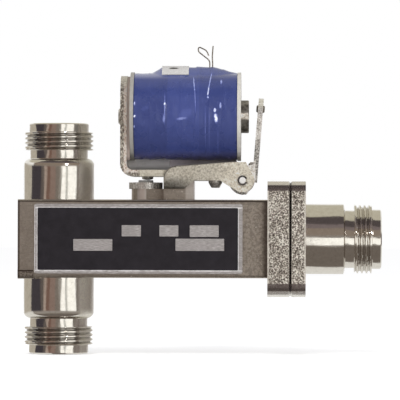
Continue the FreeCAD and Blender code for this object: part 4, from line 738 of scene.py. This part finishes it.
def opened(thing, near):
    """The object's mesh, opened for cutting. Points nearer than `near` metres to each other become one."""
    bm = bmesh.new()
    bm.from_mesh(thing.data)
    bmesh.ops.remove_doubles(bm, verts=bm.verts, dist=near)
    return bm


def put_back(bm, thing):
    """Closes the mesh again, and tells how many edges are open."""
    open_edges = sum(e.is_boundary for e in bm.edges)
    bm.to_mesh(thing.data)
    bm.free()
    return open_edges


def weld(thing):
    """Merges points that lie together, then turns every face outwards."""
    bm = opened(thing, 1e-7)
    bmesh.ops.dissolve_degenerate(bm, edges=bm.edges, dist=1e-9)
    bmesh.ops.recalc_face_normals(bm, faces=bm.faces)
    put_back(bm, thing)


def capped(name, rings):
    """A solid from rings of points in mm, one after another. The first and the last one close in their middle."""
    first, last = (np.array(ring) * 0 + np.mean(ring, 0) for ring in (rings[0], rings[-1]))
    thing = grid_mesh(name, in_metres([first, *rings, last]), wrap_columns=True, smooth=False)
    weld(thing)
    return thing


def thin_sheet(name, x0, x1, z0, z1, front, back, corner, finish):
    """A sheet facing -Y with rounded corners. The same rounded rectangle is its back, its sides and, a little smaller,
    the edge of its face: corner point = corner's middle + radius x (cos a, sin a)."""
    turns = np.radians([quarter + part for quarter in (0, 90, 180, 270) for part in range(0, 91, 15)])
    side = np.repeat([(1, 1), (-1, 1), (-1, -1), (1, -1)], 7, 0)
    middle, half = np.array([x0 + x1, z0 + z1]) / 2, np.array([x1 - x0, z1 - z0]) / 2
    rim = middle + side * (half - corner) + corner * np.stack([np.cos(turns), np.sin(turns)], -1)
    inner = middle + (rim - middle) * (1 - SHY / np.abs(rim - middle).max(0))
    rings = [np.insert(ring, 1, y, 1) for ring, y in ((rim, back), (rim, front + SHY), (inner, front))]
    give(capped(name, rings), finish)


plate_left, plate_face, _ = plate_low
field_front = plate_face - FIELD_LIFT
thin_sheet("plate_field", FIELD_LEFT, FIELD_RIGHT, FIELD_BOTTOM, FIELD_TOP, field_front, plate_face + SUNK,
           FIELD_CORNER, "plate_black")
for box_name, (left, right, lowest, highest) in WRITING_BOXES.items():
    thin_sheet(box_name, plate_left + left, plate_left + right, lowest, highest, field_front - BOX_LIFT,
               field_front + BOX_LIFT / 2, BOX_CORNER, "plate_silver")
print("name plate: one field and", len(WRITING_BOXES), "bare boxes")


# %% [markdown]
# ## Threads of the ports
# The CAD's ports carry plain cylinders where the threads are. Here each one is cut out of a copy of the port and a
# real helix is sewn in between the two open rims. The thread is a surface of two parameters, the turn and the way
# along the axis, and its radius dips by a rounded V once in every pitch.

# %% Threads
THREAD_PITCH, THREAD_R, THREAD_DEEP = 1.058, 7.94, 0.52
HELIX_COLUMNS, HELIX_STEP = 120, 0.066  # points round the helix, and mm from one row to the next
# extra rings near the ends of barrel, neck and lip keep the shading even, in mm outwards from the thread's inner end
SUPPORT_RINGS = (-11.05, -4.6, -4.25, -1.8, -0.12, 4.42, 5.75)
NEAR = 0.02  # a point this near to the thread's wall is part of it
AT_RIM = 0.08  # an open edge this near to the wall's end is part of the rim
BARREL = 9.0  # beyond this radius there is only the square flange
THREAD_SHARP = 17.0  # faces that meet at more than this many degrees keep a sharp edge


def helix_radius(turn_angle, along, length):
    """Radius = crest - depth x dip. The dip is a rounded V of (along / pitch - turn / 360), and it fades out within
    the first and the last third of a pitch."""
    phase = np.mod(along / THREAD_PITCH - turn_angle / (2 * np.pi), 1.0)
    slope = np.abs(phase - 0.5) * 2  # 0 in the root, 1 on the crest
    dip = ease(1 - np.clip((slope - 0.14) / 0.62, 0, 1))
    fade = np.clip(np.minimum(along, length - along) / (THREAD_PITCH / 3), 0, 1)
    return THREAD_R - THREAD_DEEP * dip * fade


def cut(bm, point, normal, clear=False):
    """Cuts a mesh in a plane through a point in mm. `clear` takes away what lies beyond it."""
    bmesh.ops.bisect_plane(bm, geom=bm.verts[:] + bm.edges[:] + bm.faces[:], dist=1e-7, clear_outer=clear,
                           plane_co=in_metres(point), plane_no=normal)


def threaded_port(node, along, start, stop, finish):
    """Copy of a port with a helix between two places on its axis, in mm: point = (radius cos a, radius sin a) across
    the axis and the way along it."""
    thing = add_object(node + "_threaded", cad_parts[node].data.copy())
    bm = opened(thing, 2e-6)
    k = "XYZ".index(along)
    axis = np.eye(3)[k]
    for ring in SUPPORT_RINGS:
        cut(bm, axis * (start + ring if start > 0 else stop - ring), axis)
    bm.verts.ensure_lookup_table()
    spot = np.array(in_mm([v.co[:] for v in bm.verts]))
    way, radius = spot[:, k], np.hypot(*np.delete(spot, k, 1).T)
    on_wall = (np.abs(radius - THREAD_R) < NEAR) & (way > start - NEAR) & (way < stop + NEAR)
    chosen = {bm.verts[i] for i in np.flatnonzero(on_wall)}
    wall = [face for face in bm.faces if chosen.issuperset(face.verts)]
    bmesh.ops.delete(bm, geom=wall, context="FACES")
    rows = int((stop - start) / HELIX_STEP) + 1
    angle, height = np.meshgrid(np.arange(HELIX_COLUMNS) * 2 * np.pi / HELIX_COLUMNS, np.linspace(start, stop, rows))
    radius = helix_radius(angle, height - start, stop - start)
    points = [radius * np.cos(angle), radius * np.sin(angle)]
    points.insert(k, height)
    grid = in_metres(np.stack(points, -1)[1:-1])  # the outermost rows are the port's own rims
    helix = bpy.data.meshes.new("helix")
    helix.from_pydata(grid.reshape(-1, 3), [], grid_faces(*grid.shape[:2], wrap_columns=True))
    bm.from_mesh(helix)
    bpy.data.meshes.remove(helix)
    ends = [edge for edge in bm.edges if edge.is_boundary]
    for side in (start, stop):
        level = in_metres(axis * side)[k]
        bmesh.ops.bridge_loops(bm, edges=[e for e in ends if abs(e.verts[0].co[k] - level) < AT_RIM * MM])
    bmesh.ops.recalc_face_normals(bm, faces=bm.faces)
    open_edges = put_back(bm, thing)
    faces = thing.data.polygons
    faces.foreach_set("use_smooth", np.ones(len(faces), bool))
    thing.data.set_sharp_from_angle(angle=math.radians(THREAD_SHARP))
    give(thing, finish)
    thing.data.materials.append(finishes["flange_casting"])
    middle = np.empty(len(faces) * 3)
    faces.foreach_get("center", middle)
    x, y, z = np.array(in_mm(middle.reshape(-1, 3))).T
    on_flange = (x > FLANGE_JOINT) & (x < FLANGE_STOP + 0.05) & (np.hypot(y, z) > BARREL) & (along == "X")
    faces.foreach_set("material_index", on_flange.astype(np.int32))
    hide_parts(node)
    print(node, "wall faces cut:", len(wall), "open edges left:", open_edges, "faces:", len(faces))


threaded_port("port_shell_top", "Z", *SIDE_THREAD, "side_port_nickel")
threaded_port("port_shell_bottom", "Z", -SIDE_THREAD[1], -SIDE_THREAD[0], "side_port_nickel")
threaded_port("port_shell_common", "X", *COMMON_THREAD, "common_port_nickel")


# %% [markdown]
# ## Tape round the coil
# Blue tape is wound over the coil and over the lump where the wires leave it. The wrap is a tube whose radius changes
# with the place along the coil and the angle round it. The lump is a second, smaller round bar above the first, and
# the wrap takes whichever is further out. Laps, sags and pinches are added to the radius as small waves.

# %% Tape wrap
tape_low, tape_high = in_mm(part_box("tape_wrap"))
TAPE_R = COIL_Z - tape_low[2]
TAPE_COLUMNS, TAPE_TURN, TAPE_SHARP = 220, 1.25, 60.0  # columns along it, and degrees from row to row and at edges
LUMP_UP = 7.2  # the lump's middle above the coil's
LUMP_X, LUMP_R = (21.76, 23.96, 35.86, 41.46), (2.9, 4.3, 4.3, 2.9)  # its radius at some places along the coil
# steps in the wrap: along the coil, height, slant
LAPS = [(20.9, 0.1, 0.4), (24.6, 0.07, -0.3), (28.4, 0.09, 0.5), (31.6, 0.16, 0.9), (34.6, 0.14, -1.1),
        (37.9, 0.07, 0.4)]
# small pinched folds, each with a painted glint: along the coil, height above the tube's axis, half width, half length,
# lean to the right per mm upwards, strength of the fold and of its glint
PINCHES = [
    (36.55, 27.6, 0.42, 1.0, -0.1, 1.0), (36.3, 29.5, 0.26, 0.5, 0.0, 0.75), (37.55, 30.7, 0.22, 0.75, 0.0, 0.55),
    (37.7, 36.1, 0.2, 0.6, 0.0, 0.55), (34.75, 33.9, 0.17, 1.1, 0.12, 0.75), (35.15, 36.5, 0.14, 1.6, 0.16, 0.6),
    (34.7, 32.5, 0.26, 0.26, 0.0, 0.95), (31.45, 35.6, 0.13, 1.7, -0.1, 0.6), (31.75, 32.3, 0.1, 2.8, -0.05, 0.38),
    (24.8, 31.0, 0.22, 0.36, 0.0, 0.9), (24.8, 29.8, 0.12, 2.7, 0.0, 0.42), (24.62, 27.7, 0.24, 0.9, 0.0, 0.42),
    (28.65, 27.6, 0.95, 0.32, 1.5, 0.42), (29.6, 28.7, 1.2, 1.1, 0.4, 0.17), (20.3, 29.9, 0.8, 0.5, 0.7, 0.13),
    (17.85, 31.0, 0.16, 0.4, 0.1, 0.8), (17.88, 28.1, 0.22, 0.3, 0.2, 1.0), (17.8, 25.7, 0.14, 0.3, 0.0, 0.6),
    (34.1, 26.0, 0.08, 4.2, 0.0, 0.3), (35.0, 25.0, 0.07, 4.4, 0.0, 0.26), (37.0, 21.6, 0.08, 4.0, 0.0, 0.22)]


def tape_radius(x, angle):
    """Radius of the wrap in mm. `angle` is 0 towards the camera and 90 degrees on top. Round bar: constant. Lump:
    with the lump's middle h above, its edge seen from the coil's middle is h cos t + root(R^2 - (h sin t)^2), t from
    the top. Each lap adds a step that sinks back behind it."""
    from_top = angle - np.pi / 2
    inside = np.interp(x, LUMP_X, LUMP_R) ** 2 - (LUMP_UP * np.sin(from_top)) ** 2
    on_lump = (inside > 0) & (np.cos(from_top) > 0) & (x > LUMP_X[0] - 0.1) & (x < LUMP_X[-1] + 0.2)
    reach = np.where(on_lump, LUMP_UP * np.cos(from_top) + np.sqrt(np.maximum(inside, 0)), 0)
    soft = 0.1  # the two bars run together over about this much
    radius = soft * np.logaddexp(TAPE_R / soft, reach / soft)
    for place_x, tall, slant in LAPS:
        edge = place_x + slant * np.sin(angle * 1.5 + place_x) * 0.5 + 0.12 * np.sin(angle * 7 + place_x)
        behind = np.clip((x - edge) / 0.18, 0, 1) * np.exp(-np.maximum(x - edge, 0) / 1.3)
        radius = radius + tall * behind
    radius = radius + 0.045 * np.sin(0.9 * x + 2.0 * np.sin(angle * 2)) * np.sin(angle * 3 + 0.4 * x)
    radius = radius + 0.03 * np.sin(2.3 * x + 5 * angle) * np.cos(4 * angle - 0.8 * x)
    for place_x, height, half_wide, half_long, lean, pale in PINCHES:
        up = TAPE_R * (angle - math.asin((height - COIL_Z) / TAPE_R))
        size = max(half_wide, 0.35)
        off = ((x - place_x - lean * up) / size) ** 2 + (up / max(half_long, size)) ** 2
        radius = radius + 0.16 * pale * np.exp(-off * 1.4)
    return radius


def tape_wrap():
    """Rows go round the coil, columns along it. The two ends turn in and close on the winding's tube."""
    x = np.linspace(tape_low[0] + 0.02, tape_high[0] - 0.02, TAPE_COLUMNS)
    X, A = np.meshgrid(x, np.radians(np.arange(0, 360, TAPE_TURN)))
    R = tape_radius(X, np.where(A > np.pi * 1.5, A - 2 * np.pi, A)) - 0.05
    R[:, [0, -1]] -= 0.1  # both edges of the wrap are rounded
    X, A, R = (np.concatenate([grid[:, :1], grid, grid[:, -1:]], 1) for grid in (X, A, R))
    R[:, [0, -1]] = TAPE_R - 0.5
    spot = np.stack([X, -R * np.cos(A), COIL_Z + R * np.sin(A)], -1)
    thing = grid_mesh("tape_wound", in_metres(spot), wrap_rows=True, wrap_columns=True)
    weld(thing)
    thing.data.set_sharp_from_angle(angle=math.radians(TAPE_SHARP))
    return thing


def blue_tape():
    """Blue film with a soft shine, a few shades apart from lap to lap, with fine creases running round the coil and
    painted glints, lines and specks where it is pinched, on the front half only. Off = (across / half width)^2 +
    (up / half length)^2 of each pinch, and a little noise."""
    f = Finish("blue_tape", (0.055, 0.072, 0.23), 0.32, specular=0.42)
    creases = f.noise(0.9, 4.0, 0.6, f.stretched(1.6, 0.35, 0.35))
    clouds = f.noise(4.5, 3.0, 0.5)
    colour = f.mix(clouds, (0.034, 0.05, 0.178), (0.056, 0.078, 0.262))
    colour = f.paint(colour, (0.11, 0.14, 0.36), f.ramp(creases, (0.6, 0.0), (0.78, 0.35)))
    laps = f.minus(f.step(f.x, 25.2, 25.5, 0.9, 1.06), f.step(f.x, 32.6, 32.8, 0.0, 0.12))
    colour = f.mix(1.0, colour, laps, "MULTIPLY")
    # painted reflection: the film is lightened on its belly and on the shoulder below the lump
    belly, shoulder = COIL_Z - TAPE_R, COIL_Z + 8.3
    colour = f.paint(colour, (0.15, 0.15, 0.36), f.fall(f.z, belly, belly + 2.4, 0.85))
    light = f.step(f.x, 22.0, 26.0, 0.5, 0.15)
    colour = f.paint(colour, (0.42, 0.44, 0.62), f.step(f.z, shoulder, shoulder + 1.3), light)
    # painted glints on the pinches, on the front half only
    painted_glints = 0.0
    ragged = f.wobble(2.6, 0.8, 2.0, 0.5)
    for place_x, height, half_wide, half_long, lean, pale in PINCHES:
        up = f.minus(f.z, height)
        across = f.minus(f.minus(f.x, place_x), f.times(up, lean))
        off = f.squares(f.math("DIVIDE", across, half_wide), f.math("DIVIDE", up, half_long))
        painted_glints = f.most(f.fall(f.plus(off, ragged), 0.0, 1.9 if pale > 0.5 else 2.6, pale), painted_glints)
    painted_glints = f.times(painted_glints, f.fall(f.y, -0.5, 0.0))
    glint_tint = f.ramp(painted_glints, (0.25, (0.115, 0.145, 0.42)), (0.6, (0.34, 0.39, 0.7)), (0.88, (0.92, 0.94, 1.0)))
    colour = f.paint(colour, glint_tint, f.step(painted_glints, 0.0, 0.45))
    f.set(("Coat Weight", 0.25), ("Coat Roughness", 0.12))
    f.wear(colour, f.plus(f.times(clouds, 0.12), 0.22),
           f.bump(f.noise(0.12, 2.0, 0.5), 0.01, 0.3, f.bump(creases, 0.09, 0.55)))


blue_tape()
tape = tape_wrap()
give(tape, "blue_tape")
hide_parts("tape_wrap")
print("tape:", len(tape.data.polygons), "faces, radius", round(TAPE_R, 2), "mm")


# %% [markdown]
# ## Bracket's lobe, rubber strip and insulating sheet
# The bracket's cheeks end on the left in a round lobe. The corner of the CAD's bracket is taken down to an arc by
# cutting it along the arc's tangents. A grey strip runs on from the pad, under the coil and behind the near cheek,
# and an insulating sheet lies between the yoke's arm and the bobbin.

# %% Bracket, strip and sheet
STRIP = (25.65, 41.2, 16.4, 18.6, 3.45, 6.25)  # x from and to, z from and to, y from and to
YOKE_T, BOSS_LEN, BOSS_RADIUS = 1.5, 0.75, 5.25  # the yoke's arm and the bobbin's boss on it
LINING = (6.25, 3.0, 10.2)  # half width, round top's middle above the axis, lower edge below it
PLAY = 0.02  # left free on each side of the sheet


def round_lobe():
    """Each cut takes away what lies outside a tangent: n . (p - centre) > radius, with n = (cos a, 0, sin a)."""
    thing = add_object("hinge_bracket_lobed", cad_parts["hinge_bracket"].data.copy())
    bm = opened(thing, 1e-6)
    for angle in np.radians(np.arange(101, 176, 9.25)):
        normal = np.array([math.cos(angle), 0.0, math.sin(angle)])
        cut(bm, normal * LOBE_RADIUS + [LOBE_X, 0.0, LOBE_Z], normal, clear=True)
        bmesh.ops.holes_fill(bm, edges=[e for e in bm.edges if e.is_boundary], sides=0)
    open_edges = put_back(bm, thing)
    give(thing, "bracket_plate")
    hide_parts("hinge_bracket")
    print("bracket:", len(thing.data.polygons), "faces, open edges left:", open_edges)


def rubber_strip():
    """A bar under the coil, with four corners at each end."""
    x0, x1, z0, z1, y0, y1 = STRIP
    rings = [[(x, y0, z0), (x, y1, z0), (x, y1, z1), (x, y0, z1)] for x in (x0, x1)]
    give(capped("pad_strip", rings), "strip_rubber")


def yoke_lining():
    """Insulating sheet between the yoke's arm and the bobbin: a ring round the boss, out to the arm's outline. A ray at
    angle a from the coil's axis ends at half width / |cos a| on the sides, at depth / |sin a| on the lower edge, and at
    h sin a + sqrt(R^2 - (h cos a)^2) on the round top, h above the axis."""
    x0 = in_mm(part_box("yoke"))[0][0] + YOKE_T + PLAY
    x1 = in_mm(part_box("bobbin"))[0][0] + BOSS_LEN - PLAY
    half, lift, depth = LINING
    turns = np.radians(np.arange(0, 360, 3))
    side = half / np.maximum(np.abs(np.cos(turns)), 1e-6)
    top = lift * np.sin(turns) + np.sqrt(np.maximum(half ** 2 - (lift * np.cos(turns)) ** 2, 0.0))
    lower = depth / np.maximum(-np.sin(turns), 1e-6)
    reach = np.where(side * np.sin(turns) > lift, top, np.minimum(side, lower))
    boss = reach * 0 + BOSS_RADIUS
    rows = [np.stack([turns * 0 + x, far * np.cos(turns), COIL_Z + far * np.sin(turns)], 1)
            for x, far in ((x0, reach), (x1, reach), (x1, boss), (x0, boss))]
    thing = grid_mesh("yoke_lining", in_metres(rows), wrap_rows=True, wrap_columns=True, smooth=False)
    give(thing, "fish_paper")
    print("lining:", round(x1 - x0, 2), "mm thick")


round_lobe()
rubber_strip()
yoke_lining()


# %% [markdown]
# ## Paper tag
# A slip of stiff paper stuck on the lump, with one grey smudge.

# %% Tag
SMUDGE = (2.7, 0.62, 1.25, 0.2)  # from the tag's left end, from its top, half width, half height


def tag_paper():
    """Off-white paper with a smudge near its upper left corner."""
    f = Finish("tag_paper", (0.62, 0.6, 0.58), 0.6, specular=0.35)
    (left, _, _), (_, _, top) = in_mm(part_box("tag"))
    right_by, down_by, half_wide, half_high = SMUDGE
    fibre = f.noise(0.35, 4.0, 0.6)
    colour = f.mix(fibre, (0.41, 0.395, 0.385), (0.75, 0.74, 0.72))
    off_x = f.math("DIVIDE", f.minus(f.x, left + right_by), half_wide)
    off_z = f.math("DIVIDE", f.minus(f.z, top - down_by), half_high)
    away = f.plus(f.squares(off_x, off_z), f.times(f.noise(0.3, 2.0), 0.8))
    f.wear(f.paint(colour, (0.035, 0.03, 0.025), f.fall(away, 0.7, 1.7)), 0.6, f.bump(fibre, 0.03, 0.5))


tag_paper()
print("finishes in all:", len(finishes))


# %% [markdown]
# ## The CAD's own pieces
# Most metal pieces are right as they come from the CAD model. They only take a finish, by name.

# %% Finishes for the CAD nodes
DRESS = {
    "white_insulator": "insulator_top insulator_bottom insulator_common push_rod",
    "silver_contact": "centre_contact_top centre_contact_bottom centre_contact_common fixed_contact_top "
                      "fixed_contact_bottom blade_contacts",
    "blade_brass": "contact_blade",
    "body_satin": "body_tube end_plug",
    "bush_satin": "pedestal guide_bush",
    "flange_casting": "end_flange",
    "plate_silver": "name_plate",
    "screw_plate": "flange_screws bracket_screws yoke_screws arm_rivets adjusting_screw lock_nut",
    "ring_plate": "ring_nut",
    "pin_bright": "pivot_pin",
    "spring_wire": "return_spring",
    "bracket_plate": "hinge_bracket",
    "clip_steel": "retaining_clips",
    "yoke_plate": "yoke",
    "core_iron": "core",
    "armature_plate": "armature actuator_arm",
    "pin_brass": "residual_pin",
    "bobbin_plastic": "bobbin",
    "winding_copper": "winding",
    "tag_paper": "tag",
    "lead_wire": "coil_lead_looped coil_lead_straight",
    "pad_rubber": "coil_pad",
}
for finish, nodes in DRESS.items():
    for node in nodes.split():
        for place_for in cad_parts[node].material_slots:
            place_for.material = finishes[finish]
print("CAD nodes dressed:", len(" ".join(DRESS.values()).split()), "of", len(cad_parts))
